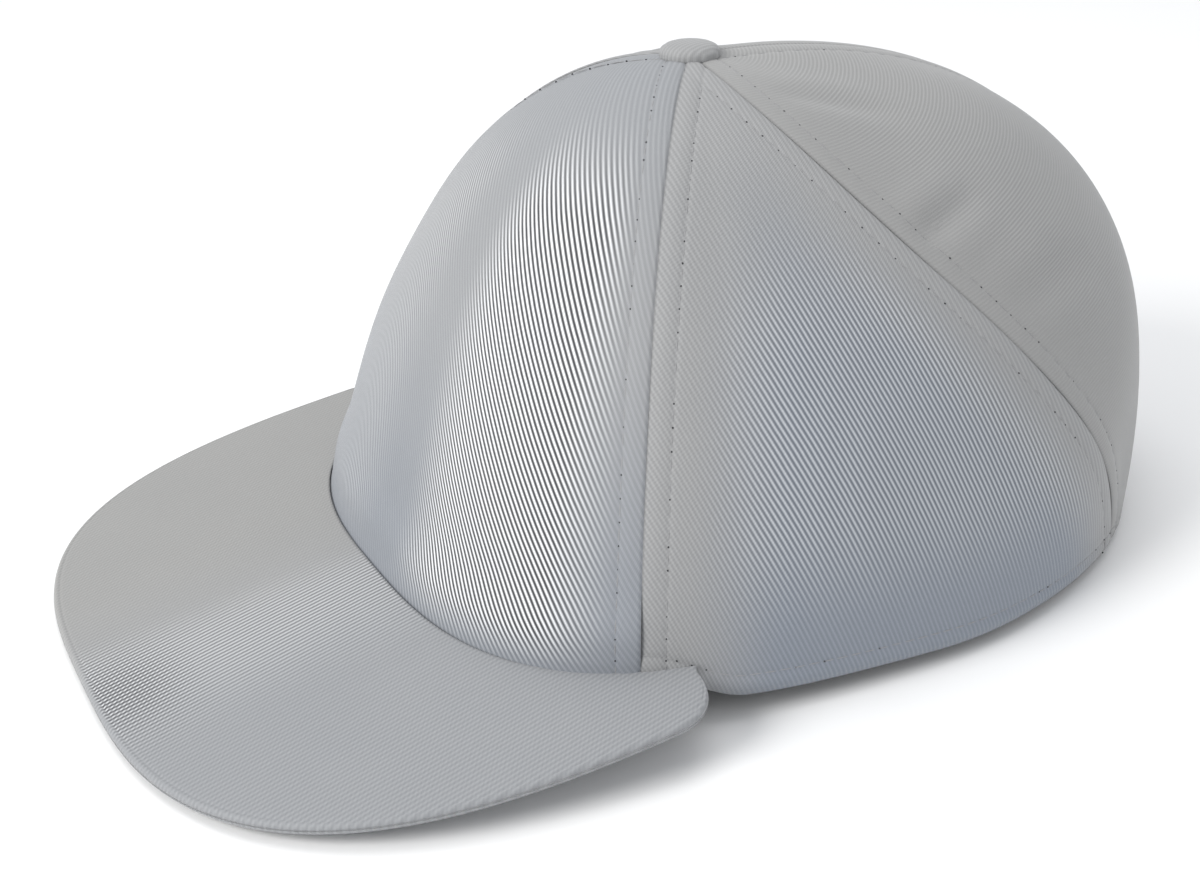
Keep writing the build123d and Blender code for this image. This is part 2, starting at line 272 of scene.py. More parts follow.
def slab(name, outer, inner, uv=None, values=None, crisp=True, weldIt=False):
    # closed solid between two grids of the same size
    rows, columns = outer.shape[:2]
    count = rows * columns
    quads = gridQuads(rows, columns)
    place = np.arange(count).reshape(rows, columns)
    ring = np.concatenate([place[:-1, 0], place[-1, :-1], place[:0:-1, -1], place[0, :0:-1]])
    after = np.roll(ring, -1)
    walls = np.stack([after, ring, ring + count, after + count], -1)
    quads = np.vstack([quads, quads[:, ::-1] + count, walls])
    points = np.concatenate([outer.reshape(-1, 3), inner.reshape(-1, 3)])
    uvBoth = None if uv is None else np.concatenate([uv.reshape(-1, 2), uv.reshape(-1, 2)])
    valuesBoth = {key: np.tile(np.broadcast_to(value, (rows, columns)).ravel(), 2)
                  for key, value in (values or {}).items()}
    sharp = np.concatenate([ring, ring + count]) if crisp else None
    piece = newPiece(name, points, quads, uvBoth, valuesBoth, sharp)
    if weldIt:
        weld(piece)
    return piece


def weld(piece, distance=2e-6):
    # merge doubles and turn the faces outwards
    form = bmesh.new()
    form.from_mesh(piece.data)
    bmesh.ops.remove_doubles(form, verts=form.verts, dist=distance)
    bmesh.ops.dissolve_degenerate(form, edges=form.edges, dist=distance / 4)
    bmesh.ops.recalc_face_normals(form, faces=form.faces)
    form.to_mesh(piece.data)
    form.free()
    return piece


def mirrored(points):
    return points * np.array([-1, 1, 1])


def dress(piece, material, body, slotName, *nodes):
    # material, body, slot name, which is not used, and the CAD nodes the piece stands for
    for each in material if isinstance(material, (list, tuple)) else [material]:
        piece.data.materials.append(each)
    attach(piece, body)
    if nodes:
        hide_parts(*nodes)
    return piece


# ---- material helpers
def newMaterial(name, roughness, sheen=0.0, sheenRoughness=0.5):
    material = bpy.data.materials.new(name)
    material.use_nodes = True
    shader = material.node_tree.nodes["Principled BSDF"]
    shader.inputs["Roughness"].default_value = roughness
    shader.inputs["Sheen Weight"].default_value = sheen
    shader.inputs["Sheen Roughness"].default_value = sheenRoughness
    shader.inputs["Specular IOR Level"].default_value = 0.4
    return material, material.node_tree, shader


def put(tree, kind, inputs=None, **settings):
    # a node with its settings, and each input linked or given a value
    node = tree.nodes.new(kind)
    for key, value in settings.items():
        setattr(node, key, value)
    for key, value in (inputs or {}).items():
        if isinstance(value, bpy.types.NodeSocket):
            tree.links.new(value, node.inputs[key])
        else:
            node.inputs[key].default_value = value
    return node


def sums(tree, operation, first, second=0.0, third=0.0):
    return put(tree, "ShaderNodeMath", {0: first, 1: second, 2: third}, operation=operation).outputs[0]


def mixColour(tree, factor, first, second):
    node = put(tree, "ShaderNodeMix", data_type="RGBA")
    for index, value in ((0, factor), (6, first), (7, second)):
        if isinstance(value, bpy.types.NodeSocket):
            tree.links.new(value, node.inputs[index])
        elif index == 0:
            node.inputs[index].default_value = value
        else:
            node.inputs[index].default_value = (*value, 1.0)
    return node.outputs[2]


def noise(tree, scale, detail=3.0):
    place = put(tree, "ShaderNodeTexCoord").outputs["Object"]
    inputs = {"Vector": place, "Scale": scale, "Detail": detail, "Roughness": 0.55}
    return put(tree, "ShaderNodeTexNoise", inputs).outputs["Fac"]


def bumpInto(tree, shader, height, distance):
    inputs = {"Height": height, "Distance": distance, "Strength": 1.0}
    tree.links.new(put(tree, "ShaderNodeBump", inputs).outputs[0], shader.inputs["Normal"])


# ---- materials
twillLook = {
    # the ridge colour is a painted highlight on the ribs; the groove colour is a painted shade, used in the
    # rib grooves, between the yarns and at the seams; the cool colour is a painted bluish shade and the warm
    # colour a warm tone
    "light": (0.312, 0.312, 0.312), "shade": (0.272, 0.275, 0.279),
    "ridge": (0.97, 0.98, 1.0), "groove": (0.012, 0.013, 0.017),
    "coolShade": (0.175, 0.208, 0.262), "warm": (0.300, 0.290, 0.266),
    # the next two lines also set the share of painted cool shade and warm tone, the strength of the painted
    # rib highlight and groove shade, the painted shade between the yarns and the painted seam shadow
    "roughness": 0.62, "sheen": 0.25, "wander": 0.22, "ridgePower": 1.3, "shadeToneShare": 0.9,
    "ridgeHighlightGain": 1.05, "grooveShadeGain": 1.08, "grooveShadeBase": 0.02, "yarnShade": 0.16, "tuckShade": 0.28,
    "bump": 0.00028, "ribBump": 0.85, "ribBumpBase": 0.09, "yarnBump": 0.1, "fuzzBump": 0.25,
}


def makeTwill(name, look, crossCount=2.0):
    # ridge = ((1 + sin 2 pi u) / 2)^ridgePower across the ribs; contrast says how plainly they show, as a
    # painted highlight on the ridges and a painted shade in the grooves
    material, tree, shader = newMaterial(name, look["roughness"], look["sheen"], 0.45)
    uv = put(tree, "ShaderNodeUVMap", uv_map="ribs").outputs[0]
    parts = put(tree, "ShaderNodeSeparateXYZ", {0: uv})
    contrast = put(tree, "ShaderNodeAttribute", attribute_name="contrast").outputs["Fac"]
    tint = put(tree, "ShaderNodeAttribute", attribute_name="tint").outputs["Fac"]
    wander = sums(tree, "MULTIPLY", noise(tree, 90), look["wander"])
    phase = sums(tree, "MULTIPLY", sums(tree, "ADD", parts.outputs[0], wander), 2 * math.pi)
    wave = sums(tree, "MULTIPLY_ADD", sums(tree, "SINE", phase), 0.5, 0.5)
    ridge = sums(tree, "POWER", wave, look["ridgePower"])
    crossPhase = sums(tree, "MULTIPLY_ADD", parts.outputs[1], 2 * math.pi * crossCount, phase)
    yarn = sums(tree, "MULTIPLY_ADD", sums(tree, "SINE", crossPhase), 0.5, 0.5)
    fuzz = noise(tree, 2600, 2.0)
    cloud = noise(tree, 26, 2.0)
    plain = mixColour(tree, cloud, look["shade"], look["light"])
    # painted bluish shade where the tone attribute is above 0, and a warm tone where it is below 0
    coolShade = mixColour(tree, sums(tree, "MULTIPLY", tint, look["shadeToneShare"]), plain, look["coolShade"])
    below = sums(tree, "MAXIMUM", sums(tree, "MULTIPLY", tint, -1.0), 0.0)
    cloth = mixColour(tree, sums(tree, "MULTIPLY", below, look["shadeToneShare"]), coolShade, look["warm"])
    # painted highlight on the ridges and painted shade in the grooves, as strong as contrast
    high = mixColour(tree, sums(tree, "MULTIPLY", contrast, look["ridgeHighlightGain"]), cloth, look["ridge"])
    dark = sums(tree, "MULTIPLY_ADD", contrast, look["grooveShadeGain"], look["grooveShadeBase"])
    low = mixColour(tree, dark, cloth, look["groove"])
    ribbed = mixColour(tree, ridge, low, high)
    between = sums(tree, "SUBTRACT", 1.0, yarn)
    yarnShading = sums(tree, "MULTIPLY", between, look["yarnShade"])
    # painted shade between the crossing yarns, where hatch is set
    hatch = put(tree, "ShaderNodeAttribute", attribute_name="hatch").outputs["Fac"]
    crossed = mixColour(tree, sums(tree, "MULTIPLY", hatch, between), ribbed, look["groove"])
    # painted shade between the yarns, broken up by fine noise
    speckled = mixColour(tree, sums(tree, "MULTIPLY", fuzz, yarnShading), crossed, look["groove"])
    # painted seam shadow beside the seams
    tuck = put(tree, "ShaderNodeAttribute", attribute_name="tuck").outputs["Fac"]
    seamShadowed = mixColour(tree, sums(tree, "MULTIPLY", tuck, look["tuckShade"]), speckled, look["groove"])
    tree.links.new(seamShadowed, shader.inputs["Base Color"])
    standing = sums(tree, "MULTIPLY_ADD", contrast, look["ribBump"], look["ribBumpBase"])
    loft = sums(tree, "MULTIPLY_ADD", yarn, look["yarnBump"], sums(tree, "MULTIPLY", fuzz, look["fuzzBump"]))
    height = sums(tree, "ADD", sums(tree, "MULTIPLY", ridge, standing), loft)
    bumpInto(tree, shader, height, look["bump"])
    return material


def makeWoven(name, colour, dark, pitch, roughness=0.75, sheen=0.15, bump=0.0002, skew=0.0):
    # plain weave: product of two sine waves along and across the piece's own map, which is in metres
    material, tree, shader = newMaterial(name, roughness, sheen)
    uv = put(tree, "ShaderNodeUVMap", uv_map="ribs").outputs[0]
    parts = put(tree, "ShaderNodeSeparateXYZ", {0: uv})
    slanted = sums(tree, "MULTIPLY_ADD", parts.outputs[1], skew, parts.outputs[0])
    first = sums(tree, "SINE", sums(tree, "MULTIPLY", slanted, 2 * math.pi / pitch))
    second = sums(tree, "SINE", sums(tree, "MULTIPLY", parts.outputs[1], 2 * math.pi / pitch))
    weave = sums(tree, "MULTIPLY_ADD", sums(tree, "MULTIPLY", first, second), 0.5, 0.5)
    fuzz = noise(tree, 1900, 2.0)
    cloud = noise(tree, 45, 2.0)
    shade = sums(tree, "MULTIPLY_ADD", weave, 0.65, sums(tree, "MULTIPLY_ADD", fuzz, 0.3, -0.05))
    tone = mixColour(tree, sums(tree, "MULTIPLY", cloud, 0.25), colour, dark)
    tree.links.new(mixColour(tree, shade, dark, tone), shader.inputs["Base Color"])
    bumpInto(tree, shader, sums(tree, "MULTIPLY_ADD", fuzz, 0.35, weave), bump)
    return material


def makePile(name, colour, dark, scale, bump, roughness=0.9, sheen=0.5):
    # cells of loose fibre: Voronoi distance plus fine noise
    material, tree, shader = newMaterial(name, roughness, sheen)
    place = put(tree, "ShaderNodeTexCoord").outputs["Object"]
    cells = put(tree, "ShaderNodeTexVoronoi", {"Vector": place, "Scale": scale}).outputs["Distance"]
    fibre = sums(tree, "MULTIPLY_ADD", noise(tree, scale * 2.3, 4.0), 0.6, cells)
    tone = mixColour(tree, sums(tree, "MINIMUM", fibre, 1.0), dark, colour)
    tree.links.new(tone, shader.inputs["Base Color"])
    bumpInto(tree, shader, fibre, bump)
    return material


def makePlastic(name, colour, dark, roughness, grain, bump):
    # moulded plastic: a fine spark-eroded grain, faint flow clouding and duller rubbed places
    material, tree, shader = newMaterial(name, roughness)
    fine = noise(tree, grain, 2.0)
    cloud = noise(tree, 22, 3.0)
    tone = mixColour(tree, sums(tree, "MULTIPLY", cloud, 0.5), colour, dark)
    tree.links.new(tone, shader.inputs["Base Color"])
    rough = sums(tree, "MULTIPLY_ADD", cloud, 0.22, roughness - 0.1)
    tree.links.new(rough, shader.inputs["Roughness"])
    bumpInto(tree, shader, fine, bump)
    return material


twill = makeTwill("greyTwill", twillLook)
peakTwill = makeTwill("peakTwill", twillLook, 1.0)
lining = makeWoven("lining", (0.50, 0.51, 0.52), (0.24, 0.25, 0.26), 0.0009)
buckramCloth = makeWoven("buckramCloth", (0.72, 0.71, 0.66), (0.30, 0.29, 0.26), 0.0014, 0.8, 0.0, 0.0004)
bandCloth = makeWoven("bandCloth", (0.30, 0.31, 0.33), (0.11, 0.115, 0.125), 0.0012, 0.85, 0.35,
                      0.0003, 0.5)
webbingCloth = makeWoven("webbingCloth", (0.50, 0.505, 0.51), (0.20, 0.21, 0.22), 0.0016, 0.7, 0.2,
                         0.0004, 0.35)
labelCloth = makeWoven("labelCloth", (0.80, 0.80, 0.79), (0.55, 0.55, 0.54), 0.0005, 0.45, 0.1, 0.00008)
loopPile = makePile("loopPile", (0.47, 0.48, 0.49), (0.17, 0.175, 0.18), 1500, 0.0006)
hookPile = makePile("hookPile", (0.42, 0.43, 0.44), (0.12, 0.12, 0.125), 1900, 0.0005, 0.5, 0.0)
foamSkin = makePile("foamSkin", (0.075, 0.078, 0.085), (0.022, 0.023, 0.026), 1300, 0.00025, 0.8, 0.3)
threadFibre = makePile("threadFibre", (0.31, 0.31, 0.315), (0.23, 0.23, 0.24), 5200, 0.00008, 0.55, 0.1)
holeShadow = makePile("holeShadow", (0.035, 0.035, 0.04), (0.012, 0.012, 0.014), 4000, 0.00005, 0.95, 0.0)
boardPlastic = makePlastic("boardPlastic", (0.70, 0.70, 0.67), (0.58, 0.58, 0.55), 0.5, 1800, 0.00004)
ringPlastic = makePlastic("ringPlastic", (0.30, 0.31, 0.32), (0.20, 0.21, 0.22), 0.38, 2400, 0.00003)
shellPlastic = makePlastic("shellPlastic", (0.045, 0.047, 0.052), (0.022, 0.023, 0.026), 0.42, 1500,
                           0.00006)
trimRubber = makePlastic("trimRubber", (0.10, 0.10, 0.105), (0.05, 0.05, 0.054), 0.7, 2000, 0.00005)
prongMetal = makePlastic("prongMetal", (0.62, 0.61, 0.58), (0.42, 0.41, 0.39), 0.3, 3000, 0.00002)
prongMetal.node_tree.nodes["Principled BSDF"].inputs["Metallic"].default_value = 1.0
print("materials made")


# ---- crown panels
panel = {
    "across": 210, "down": 150, "crowding": (0.75, 0.45), "thickness": 0.001,
    "grooveDepth": 0.00028, "grooveWidth": 0.00045,
    "puff": 0.00016, "puffAt": 0.0028, "puffWidth": 0.0018, "stitchRow": 0.0056, "stitchDip": 0.00016,
    # dipWidth is followed by the width of the painted seam shadow and its share at a panel's right seam
    "dipWidth": 0.0006, "seamShadowWidth": 0.0004, "rightSeamShadow": 0.6, "frontHem": 0.1,
    "hem": 0.0055, "roll": 0.0007, "rollWidth": 0.0011,
    "fullness": 0.0002, "fullAt": 0.003, "fullWidth": 0.0015,
    "ribPitch": {"front": 0.00114, "side": 0.00120, "rear": 0.0010},
    "ribTilt": {"front": 42.0, "side": 6.0, "rear": 84.0},
}


def clustered(count, ends):
    # 0 to 1, closer together at both ends: x - ends * sin(2 pi x) / (2 pi)
    x = np.linspace(0, 1, count)
    return x - ends * np.sin(2 * math.pi * x) / (2 * math.pi)


def sideSeamAzimuth(share):
    return crown["sideSeamTop"] + (crown["sideSeamRim"] - crown["sideSeamTop"]) * share


seamTop = 0.0
for _ in range(20):  # share at which the side seam is one tip away from the button's axis
    seamTop = float(atReach(np.array(sideSeamAzimuth(seamTop)), crown["tip"]))


def tipLine(start, end, count):
    # top edge of a panel, as azimuths and shares, one tip away from the button's axis
    azimuth = start + (end - start) * clustered(count, panel["crowding"][0])
    return np.stack([azimuth, atReach(azimuth, crown["tip"])], -1)


def rimLine(start, end, count):
    azimuth = start + (end - start) * clustered(count, panel["crowding"][0])
    return np.stack([azimuth, np.ones(count)], -1)


def archLine(count, grow=0.0):
    # adjuster opening from its foot on the wearer's left to its top: upright side, then half an ellipse
    wide, tall = arch["halfWidth"] + grow, arch["top"] - arch["spring"] + grow
    upright = arch["spring"]
    footZ = 0.001
    quarter = np.linspace(0, math.pi / 2, 60)
    x = np.concatenate([np.full(30, wide), wide * np.cos(quarter)])
    z = np.concatenate([np.linspace(footZ, upright, 31)[:-1], upright + tall * np.sin(quarter)])
    length = np.concatenate([[0], np.cumsum(np.hypot(np.diff(x), np.diff(z)))])
    want = np.linspace(0, length[-1], count)
    return np.interp(want, length, x), np.interp(want, length, z)


def rearBottom(count):
    # lower edge of the rear panel: rim from the side seam to the arch's foot, then the arch
    onRim = int(count * 0.34)
    x, z = archLine(count - onRim)
    x[-1] = 0.00001
    azimuth, share = rearPlace(x, z)
    share[0] = 1.0
    first = np.linspace(crown["sideSeamRim"], azimuth[0], onRim + 1)[:-1]
    return np.stack([np.concatenate([first, azimuth]), np.concatenate([np.ones(onRim), share])], -1)


def soften(points, amount):
    # slow swells of slack cloth: three crossed sine waves
    x, y, z = (points[..., i] for i in range(3))
    first = np.sin(70 * x + 95 * z + 0.6) * np.sin(60 * y - 30 * z + 1.1)
    second = np.sin(120 * y + 50 * x + 80 * z + 2.0)
    return amount * (first + 0.35 * second)


def crease(points, start, end, width, depth):
    # a fold along a straight stretch: depth * exp(-(distance / width)^2), with a soft lip beside it
    start, end = np.array(start), np.array(end)
    along = np.clip(((points - start) @ (end - start)) / ((end - start) @ (end - start)), 0, 1)
    distance = np.linalg.norm(points - (start + along[..., None] * (end - start)), axis=-1)
    taper = np.sin(math.pi * np.clip(along, 0.02, 0.98)) ** 0.8
    return depth * taper * (0.6 * bell(distance - 2.2 * width, 1.3 * width) - bell(distance, width))


def seamProfile(distance):
    # groove at the seam, a puffed strip beside it, and a dip under the topstitching
    groove = -panel["grooveDepth"] * bell(distance, panel["grooveWidth"])
    puff = panel["puff"] * bell(distance - panel["puffAt"], panel["puffWidth"])
    return groove + puff - panel["stitchDip"] * bell(distance - panel["stitchRow"], panel["dipWidth"])


def hemProfile(distance):
    # the lower edge rolls inwards, and a stitched row holds the hem
    roll = -panel["roll"] * bell(distance, panel["rollWidth"])
    dip = panel["stitchDip"] * bell(distance - panel["hem"], panel["dipWidth"])
    return roll - dip + panel["fullness"] * bell(distance - panel["fullAt"], panel["fullWidth"])


def makePanel(kind, top, bottom, extra, contrastOf, shadeToneOf):
    # ruled grid between two lines of (azimuth, share), pushed out along its normal by the seam profiles
    rows = clustered(panel["down"], panel["crowding"][1])
    place = top[:, None] + (bottom - top)[:, None] * rows[None, :, None]
    flat = crownPoint(place[..., 0], place[..., 1])
    normal = gridNormals(flat)
    across, down = lengthAlong(flat, 0), lengthAlong(flat, 1)
    left, right, foot = across, across[-1:] - across, down[:, -1:] - down
    hem = hemProfile(foot) * (panel["frontHem"] if kind == "front" else 1.0)
    push = seamProfile(left) + seamProfile(right) + hem + extra(flat, place, left, right, foot)
    outer = flat + normal * push[..., None]
    inner = flat - normal * panel["thickness"]
    middle = across - across[len(across) // 2]
    tilt, pitch = math.radians(panel["ribTilt"][kind]), panel["ribPitch"][kind]
    u = (middle * math.cos(tilt) - down * math.sin(tilt)) / pitch
    v = (middle * math.sin(tilt) + down * math.cos(tilt)) / pitch
    # contrast drives the painted rib highlight and shade, the tone attribute the painted cool shade and warm
    # tone, and the seam attribute the painted seam shadow beside both seams, weaker at the right one
    values = {
        "contrast": contrastOf(flat, place, left, right, foot), "tint": shadeToneOf(flat, place, left, right),
        "tuck": np.maximum(bell(left, panel["seamShadowWidth"]),
                           panel["rightSeamShadow"] * bell(right, panel["seamShadowWidth"])),
    }
    return {"outer": outer, "inner": inner, "uv": np.stack([u, v], -1), "values": values,
            "left": left, "right": right, "foot": foot, "normal": normal}


def pieceOfPanel(name, made, flip=False):
    turn = mirrored if flip else (lambda p: p)
    piece = slab(name, turn(made["outer"]), turn(made["inner"]), made["uv"], made["values"])
    return dress(piece, twill, "cap", "twill", name)


def frontExtra(flat, place, left, right, foot):
    # a soft fullness just over the peak's seam, and faint swells
    return 0.0011 * bell(foot - 0.010, 0.007) * ramp(0.0, 0.004, foot) + soften(flat, 0.00025)


def frontContrast(flat, place, left, right, foot):
    # painted rib highlight and shade: faint everywhere, strong in a band 2 to 45 degrees either side of the
    # middle, full on the wearer's left and 0.3 on the right, fading towards the top, the rim and the seams
    azimuth = np.abs(place[..., 0])
    band = ramp(2, 17, azimuth) * (1 - ramp(33, 45, azimuth)) * np.where(place[..., 0] > 0, 1, 0.3)
    high = 1 - ramp(0.098, 0.121, flat[..., 2])
    return 0.05 + 0.95 * band * high * ramp(0.0, 0.012, foot) * ramp(0.004, 0.010, np.minimum(left, right))


frontTop = tipLine(-crown["frontSeam"], crown["frontSeam"], panel["across"])
frontRim = rimLine(-crown["frontSeam"], crown["frontSeam"], panel["across"])
# painted cool shade over the whole front panel, changing slowly with height
front = makePanel("front", frontTop, frontRim, frontExtra, frontContrast,
                  lambda flat, place, left, right: 0.35 + 0.2 * np.sin(40 * flat[..., 2] + 1))
pieceOfPanel("front_panel", front)


def sideExtra(flat, place, left, right, foot):
    return soften(flat, 0.00035)


def sideContrast(flat, place, left, right, foot):
    # faint painted rib highlight and shade, stronger away from the seams and the rim, fading towards the top
    band = ramp(0.010, 0.030, left) * ramp(0.006, 0.02, right) * ramp(0.010, 0.042, foot)
    return 0.06 + 0.27 * band * (1 - ramp(0.080, 0.108, flat[..., 2]))


def sideShadeTone(flat, place, left, right):
    # painted bluish shade over the side panel, less towards the top and fading at both seams
    high = 1 - 0.65 * ramp(0.072, 0.108, flat[..., 2])
    return 0.85 * ramp(0.008, 0.035, left) * ramp(0.004, 0.03, right) * high


sideTop = tipLine(crown["frontSeam"], sideSeamAzimuth(seamTop), panel["across"])
sideTop[-1, 1] = seamTop
sideRim = rimLine(crown["frontSeam"], crown["sideSeamRim"], panel["across"])
side = makePanel("side", sideTop, sideRim, sideExtra, sideContrast, sideShadeTone)

folds = [
    ((0.0665, -0.0030, 0.0900), (0.0510, 0.0380, 0.0990), 0.0034, 0.0011),
    ((0.0240, -0.0060, 0.1230), (0.0330, 0.0260, 0.1150), 0.0032, 0.0006),
    ((0.0720, 0.0300, 0.0760), (0.0560, 0.0700, 0.0780), 0.0045, 0.0009),
]


def rearExtra(flat, place, left, right, foot):
    # slack cloth: swells and three short folds
    total = soften(flat, 0.0007)
    for start, end, width, depth in folds:
        total = total + crease(flat, start, end, width, depth)
    return total * ramp(0.0, 0.012, np.minimum(left, right))


def rearContrast(flat, place, left, right, foot):
    # faint painted rib highlight and shade, a little stronger high up and away from the left seam
    return 0.02 + 0.05 * ramp(0.006, 0.03, left) * ramp(0.05, 0.08, flat[..., 2])


rearTop = tipLine(sideSeamAzimuth(seamTop), 179.99, panel["across"])
rearTop[0, 1] = seamTop
rearEdge = rearBottom(panel["across"])
rearEdge[-1, 0] = 179.99
# warm tone over the rear panels, with no painted cool shade
rear = makePanel("rear", rearTop, rearEdge, rearExtra, rearContrast,
                 lambda flat, place, left, right: -0.25 + 0 * left)
for suffix, flip in (("left", False), ("right", True)):
    pieceOfPanel(f"side_panel_{suffix}", side, flip)
    pieceOfPanel(f"rear_panel_{suffix}", rear, flip)
print("crown panels made")


# ---- peak: two covers over a stiff board
def peakOutline():
    # right half from the crown's corner: straight rear edge, corner arc, then |x/W|^n + |y/L|^n = 1
    rootX, rootY, _ = (float(v) for v in rimPoint(np.array(peak["corner"])))
    wide = peak["halfWidth"]
    tipY = -crown["frontLength"] - peak["length"]
    radius = peak["cornerRadius"]
    turn = np.linspace(0, math.pi / 2, 24)
    cornerX = wide - radius + radius * np.sin(turn)
    cornerY = rootY - radius + radius * np.cos(turn)
    angle = np.linspace(math.pi / 2, 0, 260)
    edgeX = wide * np.sin(angle) ** (2 / peak["roundness"])
    edgeY = rootY + (tipY - rootY) * np.maximum(np.cos(angle), 0) ** (2 / peak["roundness"])
    ahead = edgeY < cornerY[-1]
    x = np.concatenate([[rootX + 0.002], cornerX, edgeX[ahead]])
    y = np.concatenate([[rootY], cornerY, edgeY[ahead]])
    return x, y


def peakGrid():
    # straight lines in plan from the crown's seam to the outline, closer together at the edge
    x, y = peakOutline()
    x, y = np.concatenate([x, -x[-2::-1]]), np.concatenate([y, y[-2::-1]])
    length = np.concatenate([[0], np.cumsum(np.hypot(np.diff(x), np.diff(y)))])
    want = np.linspace(0, length[-1], peak["columns"])
    edge = np.stack([np.interp(want, length, x), np.interp(want, length, y)], -1)
    azimuth = np.linspace(peak["corner"] + 0.6, -peak["corner"] - 0.6, peak["columns"])
    rootX, rootY, _ = rimPoint(azimuth)
    grow = 1 + peak["seamGap"] / np.hypot(rootX, rootY)
    root = np.stack([rootX * grow, rootY * grow], -1)
    span = np.linalg.norm(edge - root, axis=1)
    band = np.minimum(peak["edgeBand"], 0.5 * span) / span
    wideOpen = (1 - band)[:, None]
    byEdge = wideOpen + band[:, None] * np.linspace(0, 1, peak["edgeRows"])
    openRows = np.linspace(0, 1, peak["rows"] - peak["edgeRows"] + 1)[:-1]
    share = np.concatenate([wideOpen * openRows, byEdge], axis=1)
    plan = root[:, None] + (edge - root)[:, None] * share[..., None]
    return plan, (1 - share) * span[:, None]


def makePeakCover(name, sign):
    # height = middle + sign * halfThickness * (1 - (1 - d / rounding)^2)^0.5, at d from the edge
    plan, fromEdge = peakGrid()
    x, y = plan[..., 0], plan[..., 1]
    share = np.clip(fromEdge / peak["rounding"], 0, 1)
    rounded = np.sqrt(np.clip(1 - (1 - share) ** 2, 0, 1))
    lift = peak["halfThickness"] * rounded - 0.00014 * bell(fromEdge - 0.0017, 0.00035)
    lift = lift + 0.00016 * np.sin(52 * x + 0.5) * np.sin(47 * y + 1.2) * ramp(0.002, 0.02, fromEdge)
    under = np.maximum(lift - peak["cover"], 0.00002)
    middle = peakHeight(x, y)
    outer = np.stack([x, y, middle + sign * np.maximum(lift, 0)], -1)
    inner = np.stack([x, y, middle + sign * np.minimum(under, np.maximum(lift, 0))], -1)
    tilt = math.radians(peak["ribTilt"])
    u = (x * math.cos(tilt) - y * math.sin(tilt)) / peak["ribPitch"]
    v = (x * math.sin(tilt) + y * math.cos(tilt)) / peak["ribPitch"]
    # painted rib highlight and shade on the top cover only, away from its edge: a stripe near the middle and
    # a patch at the tip; painted shade between the yarns at the tip; painted cool shade on the wearer's left
    # and a warm tone on the right
    shown = ramp(0.0003, 0.002, fromEdge) if sign > 0 else 0 * x
    stripe = ramp(-0.014, 0.003, x) * (1 - 0.95 * ramp(0.008, 0.042, x)) * shown
    tip = bell(x - 0.014, 0.017) * ramp(-0.150, -0.172, y) * shown
    values = {
        "contrast": 0.04 + 0.30 * stripe + 0.34 * tip, "hatch": 0.6 * tip,
        "tint": 0.22 * ramp(-0.02, 0.03, x) - 0.40 * ramp(0.005, -0.04, x),
    }
    piece = slab(name, outer, inner, np.stack([u, v], -1), values, crisp=False, weldIt=True)
    return dress(piece, peakTwill, "cap", "peak_twill", name)


makePeakCover("visor_top_cover", 1)
makePeakCover("visor_under_cover", -1)
print("peak made")

# ---- covered button
button = {"radius": 0.0075, "rise": 0.0032, "power": 2.8, "pleats": 14, "pleatDepth": 0.00012}


def makeButton():
    # z = rise * (1 - (r / R)^p)^(1/p), pinched by cos(pleats * angle) towards the edge, with a flat base
    angle = np.linspace(0, 2 * math.pi, 113)[:-1]
    share = np.sin(np.linspace(0, math.pi / 2, 26))
    r = button["radius"] * share
    z = button["rise"] * (1 - share ** button["power"]) ** (1 / button["power"])
    pleat = 0.5 + 0.5 * np.cos(button["pleats"] * angle)
    pinch = button["pleatDepth"] * pleat[:, None] * (share ** 4)[None]
    radius, height = r[None] - pinch, z[None] - 0.6 * pinch * (share < 0.97)[None]
    base = np.array([[0.98 * button["radius"], 0.0]])
    radius = np.hstack([radius, np.tile(base[:, :1], (112, 1)), np.zeros((112, 1))])
    height = np.hstack([height, np.full((112, 2), -0.0006)])
    x, y = radius * np.sin(angle)[:, None], crown["buttonY"] - radius * np.cos(angle)[:, None]
    points = np.stack([x, y, crown["height"] - 0.0001 + height], -1)
    uv = np.stack([(x + 0.3 * (y - crown["buttonY"])) / 0.0012, y / 0.0012], -1)
    # faint painted rib highlight and shade, and neither painted cool shade nor warm tone
    values = {"contrast": np.full(x.shape, 0.06), "tint": np.zeros(x.shape)}
    quads = gridQuads(*x.shape, wrap=True)
    piece = weld(newPiece("top_button", points, quads, uv, values))
    return dress(piece, twill, "cap", "twill", "top_button")


makeButton()

# ---- stitching: threads laid along a path, with a needle's hole between each and the next
stitch = {"pitch": 0.0052, "length": 0.0038, "radius": 0.00013, "sink": 0.00012, "hole": 0.00029,
          "holeTop": 0.00014, "holeFoot": -0.0002, "hide": 0.00024, "margin": 0.002, "lookAhead": 0.0008}
chance = np.random.default_rng(11)


def alongPath(path, pitch):
    # places every pitch along a path of points, from a margin after its start to one before its end
    length = lengthAlong(path, 0)
    want = np.arange(stitch["margin"], length[-1] - stitch["margin"], pitch)
    return want, rowsAt(want, length, path), length


